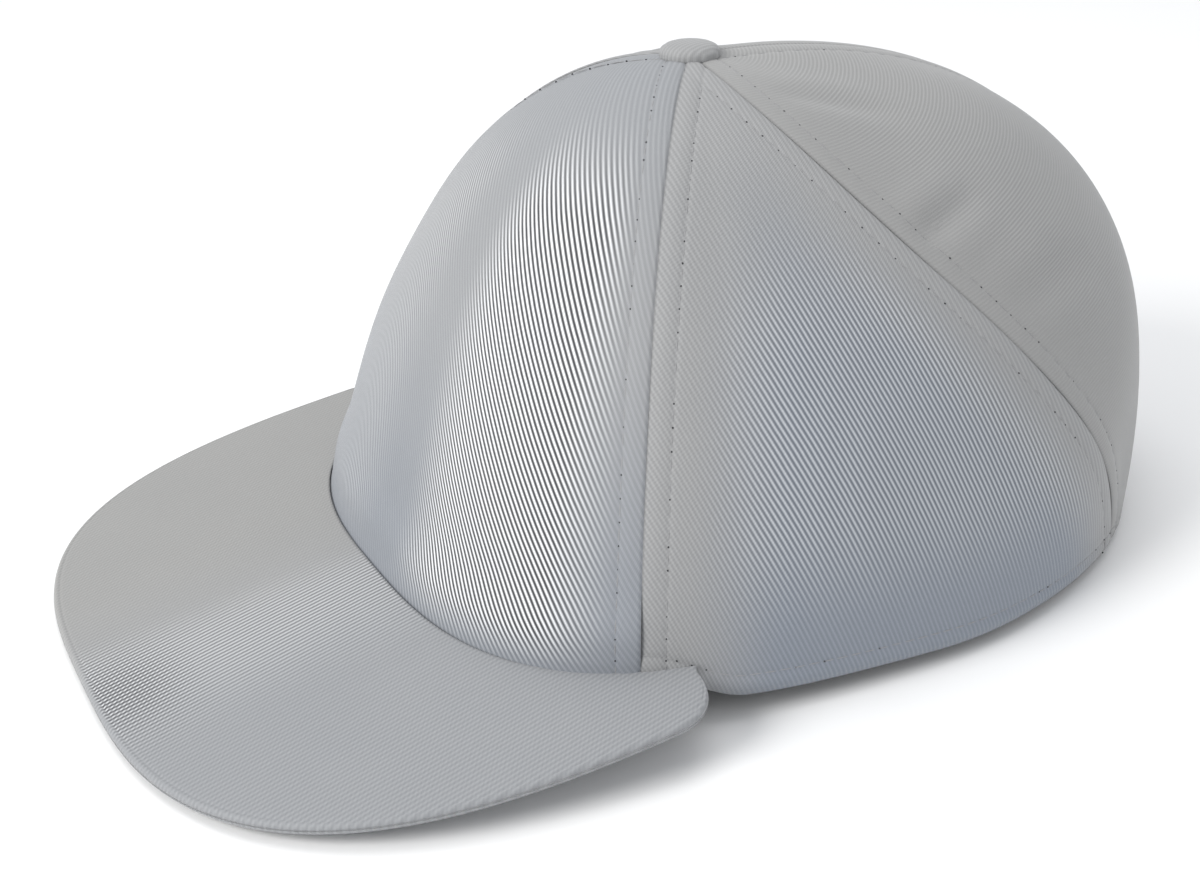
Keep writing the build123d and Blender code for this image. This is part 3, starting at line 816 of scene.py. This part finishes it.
def makeStitches(name, paths, body="cap", slotName="twill", pitch=None, hide=None):
    # each thread: a six-sided tube whose radius follows sin(pi s)^0.4, raised by sin(pi s)
    # each hole: a low disc, pushed down by a random part of hide, which closes some of them up
    pitch, hide = pitch or stitch["pitch"], hide or stitch["hide"]
    ringAngle = np.arange(6) * math.pi / 3
    s = np.linspace(0, 1, 6)
    size = stitch["radius"] * np.maximum(np.sin(math.pi * s), 0.05) ** 0.4
    rise = stitch["radius"] * 0.9 * np.sin(math.pi * s) - stitch["sink"]
    tube = np.stack([
        np.broadcast_to(((s - 0.5) * stitch["length"])[:, None], (6, 6)),
        size[:, None] * np.cos(ringAngle),
        rise[:, None] + size[:, None] * np.sin(ringAngle),
    ], -1).reshape(-1, 3)
    ringQuads = gridQuads(6, 6)
    closing = np.stack([np.arange(6) * 6 + 5, np.arange(6) * 6], -1)
    closing = np.stack([closing[:-1, 0], closing[1:, 0], closing[1:, 1], closing[:-1, 1]], -1)
    caps = np.array([[0, 1, 2, 3], [0, 3, 4, 5], [33, 32, 31, 30], [35, 34, 33, 30]])
    tubeQuads = np.vstack([ringQuads, closing, caps])[:, ::-1]
    discAngle = np.arange(8) * math.pi / 4
    hole = stitch["hole"]
    disc = np.concatenate([
        np.stack([wide * hole * np.cos(discAngle), narrow * hole * np.sin(discAngle), np.full(8, z)], -1)
        for wide, narrow, z in ((1.0, 0.8, stitch["holeFoot"]), (0.7, 0.56, stitch["holeTop"]))])
    near = np.arange(8)
    discQuads = np.vstack([
        np.stack([near, (near + 1) % 8, (near + 1) % 8 + 8, near + 8], -1),
        [[8, 9, 10, 11], [8, 11, 12, 15], [12, 13, 14, 15], [3, 2, 1, 0], [7, 4, 3, 0], [7, 6, 5, 4]],
    ])
    disc[:, 0] += stitch["pitch"] / 2
    template = np.vstack([tube, disc])
    templateQuads = np.vstack([tubeQuads, discQuads + len(tube)])
    templateSlots = np.concatenate([np.zeros(len(tubeQuads)), np.ones(len(discQuads))])
    onHole = (np.arange(len(template)) >= len(tube)) * 1.0
    points, quads, slots = [], [], []
    total = 0
    for path, normals in paths:
        want, centre, length = alongPath(path, pitch)
        up = rowsAt(want, length, normals)
        ahead = rowsAt(want + stitch["lookAhead"], length, path) - centre
        ahead /= np.linalg.norm(ahead, axis=1, keepdims=True)
        up = up - (up * ahead).sum(1, keepdims=True) * ahead
        up /= np.linalg.norm(up, axis=1, keepdims=True)
        axes = np.stack([ahead, np.cross(up, ahead), up], 1)
        drop = chance.uniform(0, hide, len(want))[:, None, None] * onHole[None, :, None]
        laid = centre[:, None] + np.einsum("pi,kij->kpj", template, axes) - drop * up[:, None]
        points.append(laid.reshape(-1, 3))
        offsets = total + np.arange(len(want)) * len(template)
        quads.append((templateQuads[None] + offsets[:, None, None]).reshape(-1, 4))
        slots.append(np.tile(templateSlots, len(want)))
        total += len(want) * len(template)
    piece = newPiece(name, np.vstack(points), np.vstack(quads), slots=np.concatenate(slots))
    return dress(piece, [threadFibre, holeShadow], body, slotName)


def pathAtDistance(made, key, distance):
    # line on a panel's face at a distance from one of its seams, as points and normals
    grids = [made[key], made["outer"], made["normal"]]
    if key == "foot":
        grids = [grid.swapaxes(0, 1) for grid in grids]
    if key != "left":
        grids = [grid[::-1] for grid in grids]
    measure, outer, normal = grids
    index = np.clip((measure > distance).argmax(axis=0), 1, len(measure) - 1)[None]
    before = np.take_along_axis(measure, index - 1, 0)[0]
    after = np.take_along_axis(measure, index, 0)[0]
    share = ((distance - before) / np.maximum(after - before, 1e-9))[:, None]

    def pick(grid):
        first = np.take_along_axis(grid, (index - 1)[..., None], 0)[0]
        second = np.take_along_axis(grid, index[..., None], 0)[0]
        return first + (second - first) * share

    path, normals = pick(outer), pick(normal)
    keep = measure.max(axis=0) > 2.2 * distance
    return path[keep], normals[keep]


def bothSides(paths):
    return paths + [(mirrored(p), mirrored(n)) for p, n in paths]


rowAt = panel["stitchRow"]
makeStitches("front_seam_topstitch", bothSides([
    pathAtDistance(front, "right", rowAt), pathAtDistance(side, "left", rowAt)]))
makeStitches("side_seam_topstitch", bothSides([
    pathAtDistance(side, "right", rowAt), pathAtDistance(rear, "left", rowAt)]))
makeStitches("rear_seam_topstitch", bothSides([pathAtDistance(rear, "right", rowAt)]))
makeStitches("rim_topstitch", bothSides([
    pathAtDistance(side, "foot", panel["hem"]), pathAtDistance(rear, "foot", panel["hem"])]),
    pitch=0.0036, hide=0.0006)
print("stitching made")

# ---- linings, tapes and band inside the crown
inside = {
    "backing": (0.0011, 0.0016), "tapeHalf": 0.006, "tapeFoot": 0.002, "tapeTip": 0.010,
    "sideTapeTip": 0.024,
    "buckramTip": 0.014, "buckramGap": 0.0072, "bandEnd": 151.0, "bandHeight": 0.032,
    "bandDepth": 0.0041, "bandHalf": 0.0008, "bandPuff": 0.0007, "labelSpan": (133.0, 147.0),
    "labelHeight": (0.003, 0.028), "labelDepth": (0.00535, 0.00565),
}


def turnPerMetre(azimuth, reach):
    # degrees of azimuth for each metre sideways, at a distance from the button's axis
    step = (heading(azimuth + 0.5) - heading(azimuth - 0.5) + 180) % 360 - 180
    return np.degrees(1 / reach) / step


def makeTape(name, azimuthOf, tipReach, end):
    # strip along a seam: width w sideways, its folded edges thicker, two rows of stitches pressed in
    start = 0.2
    for _ in range(12):  # share at which the seam is tipReach away from the button's axis
        start = float(atReach(np.array(azimuthOf(start)), tipReach, inside["backing"][0]))
    share = np.linspace(start, end, 140)[None]
    w = np.linspace(-1, 1, 33)[:, None] * inside["tapeHalf"]
    centre = azimuthOf(share)
    reach = reachOf(crownPoint(centre, share, inside["backing"][0]))
    azimuth = centre + w * turnPerMetre(centre, reach)
    fold = 0.00022 * bell(np.abs(w) - 0.0052, 0.0007) - 0.00025 * bell(np.abs(w) - 0.0041, 0.0004)
    outer = crownPoint(azimuth, share + 0 * w, inside["backing"][0])
    inner = crownPoint(azimuth, share + 0 * w, inside["backing"][1] + fold)
    run = lengthAlong(outer, 1)
    uv = np.stack([w + 0 * run, run], -1)
    piece = slab(name, outer, inner, uv)
    return dress(piece, lining, "cap", "lining", name)


rearTapeEnd = float(shareWhere(np.array(180.0), lambda p: p[..., 2] > arch["top"] + 0.0095, 0.0011))
for suffix, sign in (("left", 1), ("right", -1)):
    seamAt = sign * crown["frontSeam"]
    makeTape(f"front_seam_tape_{suffix}", lambda share: seamAt + 0 * share, inside["tapeTip"],
             float(atHeight(np.array(seamAt), inside["tapeFoot"])))
    makeTape(f"side_seam_tape_{suffix}", lambda share: sign * sideSeamAzimuth(share), inside["sideTapeTip"],
             float(atHeight(np.array(sign * crown["sideSeamRim"]), inside["tapeFoot"])))
makeTape("rear_seam_tape", lambda share: 180.0 + 0 * share, inside["tapeTip"], rearTapeEnd)


def makeBuckram():
    # stiff open weave behind the front panel, short of its seams
    start = float(atReach(np.array(0.0), inside["buckramTip"]))
    share = np.linspace(start, float(atHeight(np.array(0.0), inside["tapeFoot"])), 120)[None]
    edge = np.full((1, 1), crown["frontSeam"])
    limit = crown["frontSeam"] - inside["buckramGap"] * turnPerMetre(edge, reachOf(crownPoint(edge, share)))
    azimuth = np.linspace(-1, 1, 150)[:, None] * limit
    lowest = atHeight(azimuth, inside["tapeFoot"], inside["backing"][0])
    share = np.minimum(share + 0 * azimuth, lowest)
    outer = crownPoint(azimuth, share, inside["backing"][0])
    inner = crownPoint(azimuth, share, inside["backing"][1])
    uv = np.stack([lengthAlong(outer, 0), lengthAlong(outer, 1)], -1)
    piece = slab("front_buckram", outer, inner, uv)
    return dress(piece, buckramCloth, "cap", "buckram", "front_buckram")


makeBuckram()


quilt = {
    "forehead": (62, 74), "sides": 0.35, "rowAt": 0.026, "rowDepth": 0.00055, "rowWidth": 0.0007,
    "gap": 0.022, "uprightDepth": 0.0005, "uprightWidth": 0.0009, "endDepth": 0.0004, "endWidth": 0.6,
}


def makeSweatband():
    # padded band: half thickness (1 - 0.97 |2v - 1|^8)^0.5, fuller over the forehead, with upright rows
    azimuth = np.linspace(-inside["bandEnd"], inside["bandEnd"], 520)[:, None]
    v = (0.5 - 0.5 * np.cos(np.linspace(0, math.pi, 30)))[None]
    share = atHeight(azimuth, 0.0008 + v * (inside["bandHeight"] - 0.0008), inside["bandDepth"])
    middle = crownPoint(azimuth, share, inside["bandDepth"])
    run = lengthAlong(middle, 0)
    half = inside["bandHalf"] * np.sqrt(1 - 0.97 * np.abs(2 * v - 1) ** 8)
    forehead = quilt["sides"] + (1 - quilt["sides"]) * (1 - ramp(*quilt["forehead"], np.abs(azimuth)))
    full = inside["bandPuff"] * forehead * np.sin(math.pi * v) ** 0.6
    row = quilt["rowDepth"] * bell(v * inside["bandHeight"] - quilt["rowAt"], quilt["rowWidth"])
    fromRow = (run[:, 15:16] + quilt["gap"] / 2) % quilt["gap"] - quilt["gap"] / 2
    upright = quilt["uprightDepth"] * bell(fromRow, quilt["uprightWidth"])
    upright = upright * ramp(0, 0.1, v) * ramp(0, 0.1, 0.8 - v)
    end = quilt["endDepth"] * bell(inside["bandEnd"] - np.abs(azimuth), quilt["endWidth"])
    outer = crownPoint(azimuth, share, inside["bandDepth"] - half)
    inner = crownPoint(azimuth, share, inside["bandDepth"] + half + full - row - upright - end)
    uv = np.stack([run, v * inside["bandHeight"] + 0 * run], -1)
    piece = slab("sweatband", outer, inner, uv, crisp=False)
    return dress(piece, bandCloth, "cap", "sweatband", "sweatband")


makeSweatband()


def makeLabel():
    # small blank label, sewn at its upper edge and lifting a little at its free lower corners
    azimuth = np.linspace(*inside["labelSpan"], 40)[:, None]
    v = np.linspace(0, 1, 40)[None]
    low, high = inside["labelHeight"]
    share = atHeight(azimuth, low + v * (high - low), inside["labelDepth"][0])
    lift = 0.0006 * (1 - v) ** 2 * (0.4 + 0.6 * np.abs(2 * np.linspace(0, 1, 40)[:, None] - 1) ** 2)
    outer = crownPoint(azimuth, share, inside["labelDepth"][0] + lift)
    inner = crownPoint(azimuth, share, inside["labelDepth"][1] + lift)
    uv = np.stack([lengthAlong(outer, 0), lengthAlong(outer, 1)], -1)
    piece = slab("care_label", outer, inner, uv)
    return dress(piece, labelCloth, "cap", "label", "care_label")


makeLabel()


binding = {
    "across": (-0.0007, -0.00066, -0.00045, -0.0001, 0.0006, 0.002,
               0.0035, 0.0050, 0.0064, 0.0072, 0.0077, 0.008),
    "face": 0.0003, "outer": 0.0011, "inner": 0.0019, "edge": 0.0003, "middle": 0.00365, "half": 0.00436,
    "rows": ((0.0064, 0.00022), (0.0012, 0.00018)), "rowWidth": 0.0005,
}


def makeBinding():
    # tape round the adjuster opening: flat inside the panels, turned out over their raw edge, its
    # thickness following (1 - ((w - middle) / half)^12)^0.5 across, with two rows of stitches pressed in
    w = np.array(binding["across"])
    grids = [archLine(90, grow) for grow in w]
    x = np.stack([g[0] for g in grids], 1)
    z = np.stack([g[1] for g in grids], 1)
    x[-1] = 0.0
    azimuth, share = rearPlace(x, z, binding["outer"])
    azimuth = np.concatenate([azimuth, 360 - azimuth[-2::-1]])
    share = np.concatenate([share, share[-2::-1]])
    turned = ramp(-0.0004, 0.0, w)[None]
    thin = 1 - np.sqrt(np.clip(1 - ((w - binding["middle"]) / binding["half"]) ** 12, 0, 1))[None]
    press = sum(depth * bell(w - at, binding["rowWidth"]) for at, depth in binding["rows"])
    outerDepth = binding["face"] * (1 - turned) + binding["outer"] * turned + binding["edge"] * thin
    innerDepth = binding["inner"] - binding["edge"] * thin - press[None]
    outer = crownPoint(azimuth, share, outerDepth)
    inner = crownPoint(azimuth, share, innerDepth)
    run = lengthAlong(inner, 0)
    uv = np.stack([run, w[None] + 0 * run], -1)
    piece = slab("opening_binding", outer, inner, uv)
    return dress(piece, lining, "cap", "lining", "opening_binding")


makeBinding()
print("inside of the crown made")

# ---- strap, hook-and-loop end and ring
strap = {
    "low": 0.004, "high": 0.024, "depth": 0.0025, "half": 0.0005, "start": -0.02699, "end": 0.050,
    "tailDepth": -0.0017, "tailEnd": 0.030, "loop": (-0.020, 0.036, 0.0009, 0.0020),
    "hook": (-0.018, 0.024, -0.00115, 0.0003), "hinge": (-0.02699, 0.10656), "window": 0.0094,
    "tabEnd": -0.050, "tabHalf": 0.00045, "tabInner": 0.0025, "tabOuter": -0.0016, "tabUnder": 0.00158,
    "turn": 0.0021, "tailBox": (-0.0165, 0.0225), "strapBox": (-0.0185, 0.0345), "boxMargin": 0.0018,
    "boxPitch": 0.0038, "besideBar": (-0.0318, -0.0308), "tabPast": 0.0006, "tabBack": 0.0012,
    "tabDive": (-0.0368, -0.0412),
}


def bandPlace(x, depth):
    # plan of the rear: y = L (1 - (x / W)^2)^0.5, with both axes less the depth
    wide, long = crown["halfWidth"] - depth, crown["rearLength"] - depth
    return np.stack([x + 0 * depth, long * np.sqrt(1 - (x / wide) ** 2)], -1)


def makeWebbing(name, path, half, material, body, slotName, nodes, endRound=0.0):
    # ribbon along a plan path, its thickness (1 - 0.9 |2v - 1|^12)^0.5 across; one end may be rounded
    tangent = np.gradient(path, axis=0)
    tangent /= np.linalg.norm(tangent, axis=1, keepdims=True)
    normal = np.stack([tangent[:, 1], -tangent[:, 0]], -1)
    run = lengthAlong(path, 0)
    v = 0.5 - 0.5 * np.cos(np.linspace(0, math.pi, 26))
    toEnd = run[-1] - run
    shorter = endRound - np.sqrt(np.maximum(endRound ** 2 - np.maximum(endRound - toEnd, 0) ** 2, 0))
    tall = (strap["high"] - strap["low"]) / 2
    middle = (strap["high"] + strap["low"]) / 2
    z = middle + (tall - shorter)[:, None] * (2 * v - 1)[None]
    thick = half * np.sqrt(1 - 0.9 * np.abs(2 * v - 1) ** 12)
    thick = thick[None] - 0.00012 * bell(np.abs(z - middle) - tall + 0.0022, 0.0004)
    faces = []
    for sign in (1, -1):
        plan = path[:, None] + sign * normal[:, None] * thick[..., None]
        faces.append(np.concatenate([plan, z[..., None]], -1))
    uv = np.stack([run[:, None] + 0 * z, z], -1)
    piece = slab(name, faces[0], faces[1], uv, crisp=False, weldIt=endRound > 0)
    return dress(piece, material, body, slotName, *nodes)


def makeStrap():
    straight = np.linspace(strap["end"], strap["start"], 130)
    makeWebbing("adjuster_strap", bandPlace(straight, strap["depth"]), strap["half"], webbingCloth,
                "cap", "webbing", ["adjuster_strap"])
    tail = np.linspace(strap["start"], strap["tailEnd"], 110)
    tailPath = bandPlace(tail, strap["tailDepth"])
    makeWebbing("strap_tail", tailPath, strap["half"], webbingCloth, "strap_tail", "webbing",
                ["strap_tail"], endRound=0.006)
    patches = (("loop_patch", "loop", "cap", loopPile), ("hook_patch", "hook", "strap_tail", hookPile))
    for name, key, body, material in patches:
        start, end, outside, insideDepth = strap[key]
        path = bandPlace(np.linspace(start, end, 100), (outside + insideDepth) / 2)
        makeWebbing(name, path, (insideDepth - outside) / 2, material, body, "hook_loop", [name])


def makeWrap():
    # half turn of webbing round the ring's bar, from the strap to the tail; it is attached to no body
    hinge = np.array(strap["hinge"])
    start, end = (bandPlace(np.array(strap["start"]), np.array(strap[key]))
                  for key in ("depth", "tailDepth"))
    out = (end - start) / np.linalg.norm(end - start)
    toWindow = np.array([-out[1], out[0]])
    inner, outer = np.dot(start - hinge, out), np.dot(end - hinge, out)
    angle = np.linspace(-math.pi / 2, math.pi / 2, 40)
    reach = np.where(angle < 0, -inner, outer)
    path = hinge + np.outer(np.sin(angle) * reach, out) + np.outer(np.cos(angle) * strap["turn"], toWindow)
    piece = makeWebbing("strap_wrap", path, strap["half"], webbingCloth, "cap", "webbing", [])
    piece.parent = None
    del piece["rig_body"]
    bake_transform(piece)


def makeTab():
    # loop of webbing round the ring's other bar; both ends are sewn inside the rear panel
    hinge = np.array(strap["hinge"])
    ahead = bandPlace(np.array(strap["besideBar"]), 0.0005)
    along = (ahead[1] - ahead[0]) / np.linalg.norm(ahead[1] - ahead[0])
    out = np.array([-along[1], along[0]])
    bar = hinge - along * strap["window"]
    toBar = np.linspace(strap["tabEnd"], bar[0] + strap["tabPast"], 40)
    first = bandPlace(toBar, np.full(40, strap["tabInner"]))
    angle = np.linspace(-math.pi / 2, math.pi / 2, 30)[1:-1]
    turn = bar + strap["turn"] * (np.outer(np.sin(angle), out) + np.outer(np.cos(angle), along))
    back = np.linspace(bar[0] - strap["tabBack"], strap["tabEnd"] + 0.001, 60)
    dive = ramp(*strap["tabDive"], back)
    second = bandPlace(back, strap["tabOuter"] * (1 - dive) + strap["tabUnder"] * dive)
    path = np.vstack([first, turn, second])
    length = lengthAlong(path, 0)
    path = rowsAt(np.linspace(0, length[-1], 150), length, path)
    for _ in range(3):
        path[1:-1] = (path[:-2] + 2 * path[1:-1] + path[2:]) / 4
    makeWebbing("ring_tab", path, strap["tabHalf"], webbingCloth, "cap", "webbing", ["ring_tab"])


def boxPath(start, end, depth, sign):
    # stitched rectangle on a band, as points and outward normals
    low, high = strap["low"] + strap["boxMargin"], strap["high"] - strap["boxMargin"]
    ahead, rise = np.linspace(start, end, 60), np.linspace(low, high, 30)
    x = np.concatenate([ahead, np.full(30, end), ahead[::-1], np.full(30, start)])
    z = np.concatenate([np.full(60, low), rise, np.full(60, high), rise[::-1]])
    plan = bandPlace(x, np.full(len(x), depth))
    normal = np.stack([x / crown["halfWidth"] ** 2, plan[:, 1] / crown["rearLength"] ** 2, 0 * x], -1)
    normal /= np.linalg.norm(normal, axis=1, keepdims=True)
    return np.concatenate([plan, z[:, None]], -1), sign * normal


makeStrap()
makeWrap()
makeTab()
makeStitches("tail_stitches", [boxPath(*strap["tailBox"], strap["tailDepth"] - strap["half"], 1)],
             "strap_tail", "webbing", strap["boxPitch"])
makeStitches("strap_stitches", [boxPath(*strap["strapBox"], strap["depth"] + strap["half"], -1)],
             "cap", "webbing", strap["boxPitch"])
print("strap made")

# ---- pads of the insert
pads = {
    "outer": (0.0098, 0.0068), "inner": (0.0148, 0.0118), "voxel": 0.0022, "pressure": 4.0, "cap": 0.0012,
    "quality": 6, "steps": 20, "swell": 0.86, "weld": 5e-6,
    "band": {"front_pad": (-36, 36, 0.042, 0.082), "side_pad_left": (64, 112, 0.042, 0.082),
             "side_pad_right": (-112, -64, 0.042, 0.082), "rear_pad": (148, 212, 0.067, 0.095)},
    "cross": ((0.050, 0.014), (0.014, 0.055)), "crossY": 0.012,
}


def padDepths(swell):
    # depth pair of the pad's middle, moved out (-1) to in (1) by the swell
    return [(o + i) / 2 + swell * (i - o) / 2 for o, i in zip(pads["outer"], pads["inner"])]


def puffPad(piece):
    # remesh, let cloth pressure round the foam's cover, hold each point near its start, then smooth once
    bpy.context.view_layer.objects.active = piece
    remesh = piece.modifiers.new("remesh", "REMESH")
    remesh.mode = "VOXEL"
    remesh.voxel_size = pads["voxel"]
    bpy.ops.object.modifier_apply(modifier=remesh.name)
    count = len(piece.data.vertices)
    before = np.zeros(count * 3)
    piece.data.vertices.foreach_get("co", before)
    cloth = piece.modifiers.new("cloth", "CLOTH")
    cloth.settings.use_pressure = True
    cloth.settings.uniform_pressure_force = pads["pressure"]
    cloth.settings.effector_weights.gravity = 0
    cloth.settings.quality = pads["quality"]
    for step in range(1, pads["steps"] + 1):
        bpy.context.scene.frame_set(step)
    bpy.ops.object.modifier_apply(modifier=cloth.name)
    bpy.context.scene.frame_set(1)
    after = np.zeros(count * 3)
    piece.data.vertices.foreach_get("co", after)
    move = (after - before).reshape(-1, 3)
    size = np.linalg.norm(move, axis=1, keepdims=True)
    move *= np.minimum(1, pads["cap"] / np.maximum(size, 1e-9))
    piece.data.vertices.foreach_set("co", (before.reshape(-1, 3) + move).ravel())
    smooth = piece.modifiers.new("smooth", "SUBSURF")
    smooth.levels = smooth.render_levels = 1
    bpy.ops.object.modifier_apply(modifier=smooth.name)
    piece.data.polygons.foreach_set("use_smooth", np.ones(len(piece.data.polygons), bool))
    piece.data.update()
    return piece


def makeBandPad(name, start, end, foot, top):
    # rounded slab: half thickness ((1 - |U|^14) (1 - |V|^8))^0.5, corners drawn in
    flatU, flatV = np.meshgrid(np.linspace(-1, 1, 81), np.linspace(-1, 1, 41), indexing="ij")
    u = flatU * np.sqrt(1 - 0.13 * flatV ** 6)
    v = flatV * np.sqrt(1 - 0.22 * flatU ** 10)
    azimuth = (start + end) / 2 + u * (end - start) / 2
    height = (foot + top) / 2 + v * (top - foot) / 2
    full = np.clip(1 - np.abs(flatU) ** 14, 0, 1) * np.clip(1 - np.abs(flatV) ** 8, 0, 1)
    swell = pads["swell"] * np.sqrt(full)
    depth, down = padDepths(0.0)
    share = atHeight(azimuth, height, depth, down)
    outer, inner = (crownPoint(azimuth, share, *padDepths(s)) for s in (-swell, swell))
    piece = slab(name, outer, inner, crisp=False, weldIt=True)
    puffPad(piece)
    return dress(piece, foamSkin, "insert", "foam", name)


def makeCrownPad():
    # cross of two rounded bars: each bar's edge is (|cos/a|^6 + |sin/b|^6)^(-1/6), the farther one counts
    angle = np.linspace(0, 2 * math.pi, 161)[:-1, None]
    share = np.sin(np.linspace(0, math.pi / 2, 26))[None]
    reaches = [(np.abs(np.cos(angle) / a) ** 6 + np.abs(np.sin(angle) / b) ** 6) ** (-1 / 6)
               for a, b in pads["cross"]]
    reach = (reaches[0] ** 14 + reaches[1] ** 14) ** (1 / 14) * 0.975
    x = reach * share * np.cos(angle)
    y = crown["buttonY"] + pads["crossY"] + reach * share * np.sin(angle)
    swell = pads["swell"] * np.sqrt(1 - share ** 10) + 0 * angle
    faces = [domePoint(x, y, *padDepths(s)) for s in (-swell, swell)]
    points = np.concatenate([faces[0], faces[1][:, ::-1]], axis=1)
    piece = weld(newPiece("crown_pad", points, gridQuads(*points.shape[:2], wrap=True)), pads["weld"])
    puffPad(piece)
    return dress(piece, foamSkin, "insert", "foam", "crown_pad")


for name, span in pads["band"].items():
    makeBandPad(name, *span)
makeCrownPad()
print("pads made")

# ---- hard parts keep their made shape and get their finish
finishes = {
    "visor_board": boardPlastic, "strap_ring": ringPlastic, "insert_shell": shellPlastic,
    "shell_edge_trim": trimRubber, "button_prong": prongMetal,
}
for name, material in finishes.items():
    node = frame["nodes"][name]
    for each in node.material_slots:
        each.material = material
print("hard parts finished")

# ---- camera, floor and light
view = {
    "azimuth": 62.98, "elevation": 26.04, "roll": -1.80, "distance": 0.5302, "lens": 52.61,
    "target": (-0.0588, -0.0103, -0.001),
}


def addCamera():
    azimuth, elevation, roll = (math.radians(view[key]) for key in ("azimuth", "elevation", "roll"))
    back = Vector((math.sin(azimuth) * math.cos(elevation), -math.cos(azimuth) * math.cos(elevation),
                   math.sin(elevation)))
    right = Vector((math.cos(azimuth), math.sin(azimuth), 0))
    up = back.cross(right)
    turnedRight = right * math.cos(roll) + up * math.sin(roll)
    turnedUp = up * math.cos(roll) - right * math.sin(roll)
    data = bpy.data.cameras.new("camera")
    data.lens = view["lens"]
    data.sensor_width = 36
    data.clip_start = 0.01
    camera = bpy.data.objects.new("camera", data)
    bpy.context.scene.collection.objects.link(camera)
    turned = Matrix((turnedRight, turnedUp, back)).transposed().to_4x4()
    turned.translation = Vector(view["target"]) + back * view["distance"]
    camera.matrix_world = turned
    bpy.context.scene.camera = camera


def addArea(name, place, size, power, colour):
    # a soft light that faces the crown's middle
    data = bpy.data.lights.new(name, "AREA")
    data.shape = "DISK"
    data.size = size
    data.energy = power
    data.color = colour
    lamp = bpy.data.objects.new(name, data)
    bpy.context.scene.collection.objects.link(lamp)
    lamp.location = place
    lamp.rotation_euler = (Vector((0, 0, 0.06)) - Vector(place)).to_track_quat("-Z", "Y").to_euler()


def addFloor():
    # a pale floor that the rim rests on
    half = 6.0
    low = float(cadBounds[0][2]) - 0.0002
    corners = [(-half, -half, low), (half, -half, low), (half, half, low), (-half, half, low)]
    mesh = bpy.data.meshes.new("floor")
    mesh.from_pydata(corners, [], [(0, 1, 2, 3)])
    floor = bpy.data.objects.new("floor", mesh)
    bpy.context.scene.collection.objects.link(floor)
    material, tree, shader = newMaterial("floorPaint", 0.9)
    shade = mixColour(tree, noise(tree, 3, 2.0), (0.93, 0.93, 0.93), (0.90, 0.90, 0.90))
    tree.links.new(shade, shader.inputs["Base Color"])
    mesh.materials.append(material)


light = {
    "world": (0.95, 0.97, 1.0), "worldStrength": 0.66,
    "key": ((0.15, -1.3, 0.9), 0.8, 17, (1.0, 0.99, 0.97)),
    "top": ((-0.4, 0.1, 1.6), 1.4, 9, (1.0, 1.0, 1.0)),
    "fill": ((1.3, 0.9, 0.5), 1.2, 3.5, (1.0, 1.0, 1.0)),
}
addCamera()
addFloor()
for name in ("key", "top", "fill"):
    addArea(f"{name}Light", *light[name])
world = bpy.data.worlds.new("studio")
world.use_nodes = True
world.node_tree.nodes["Background"].inputs["Color"].default_value = (*light["world"], 1.0)
world.node_tree.nodes["Background"].inputs["Strength"].default_value = light["worldStrength"]
bpy.context.scene.world = world
bpy.context.scene.view_settings.view_transform = "Standard"
print("camera and lights set")
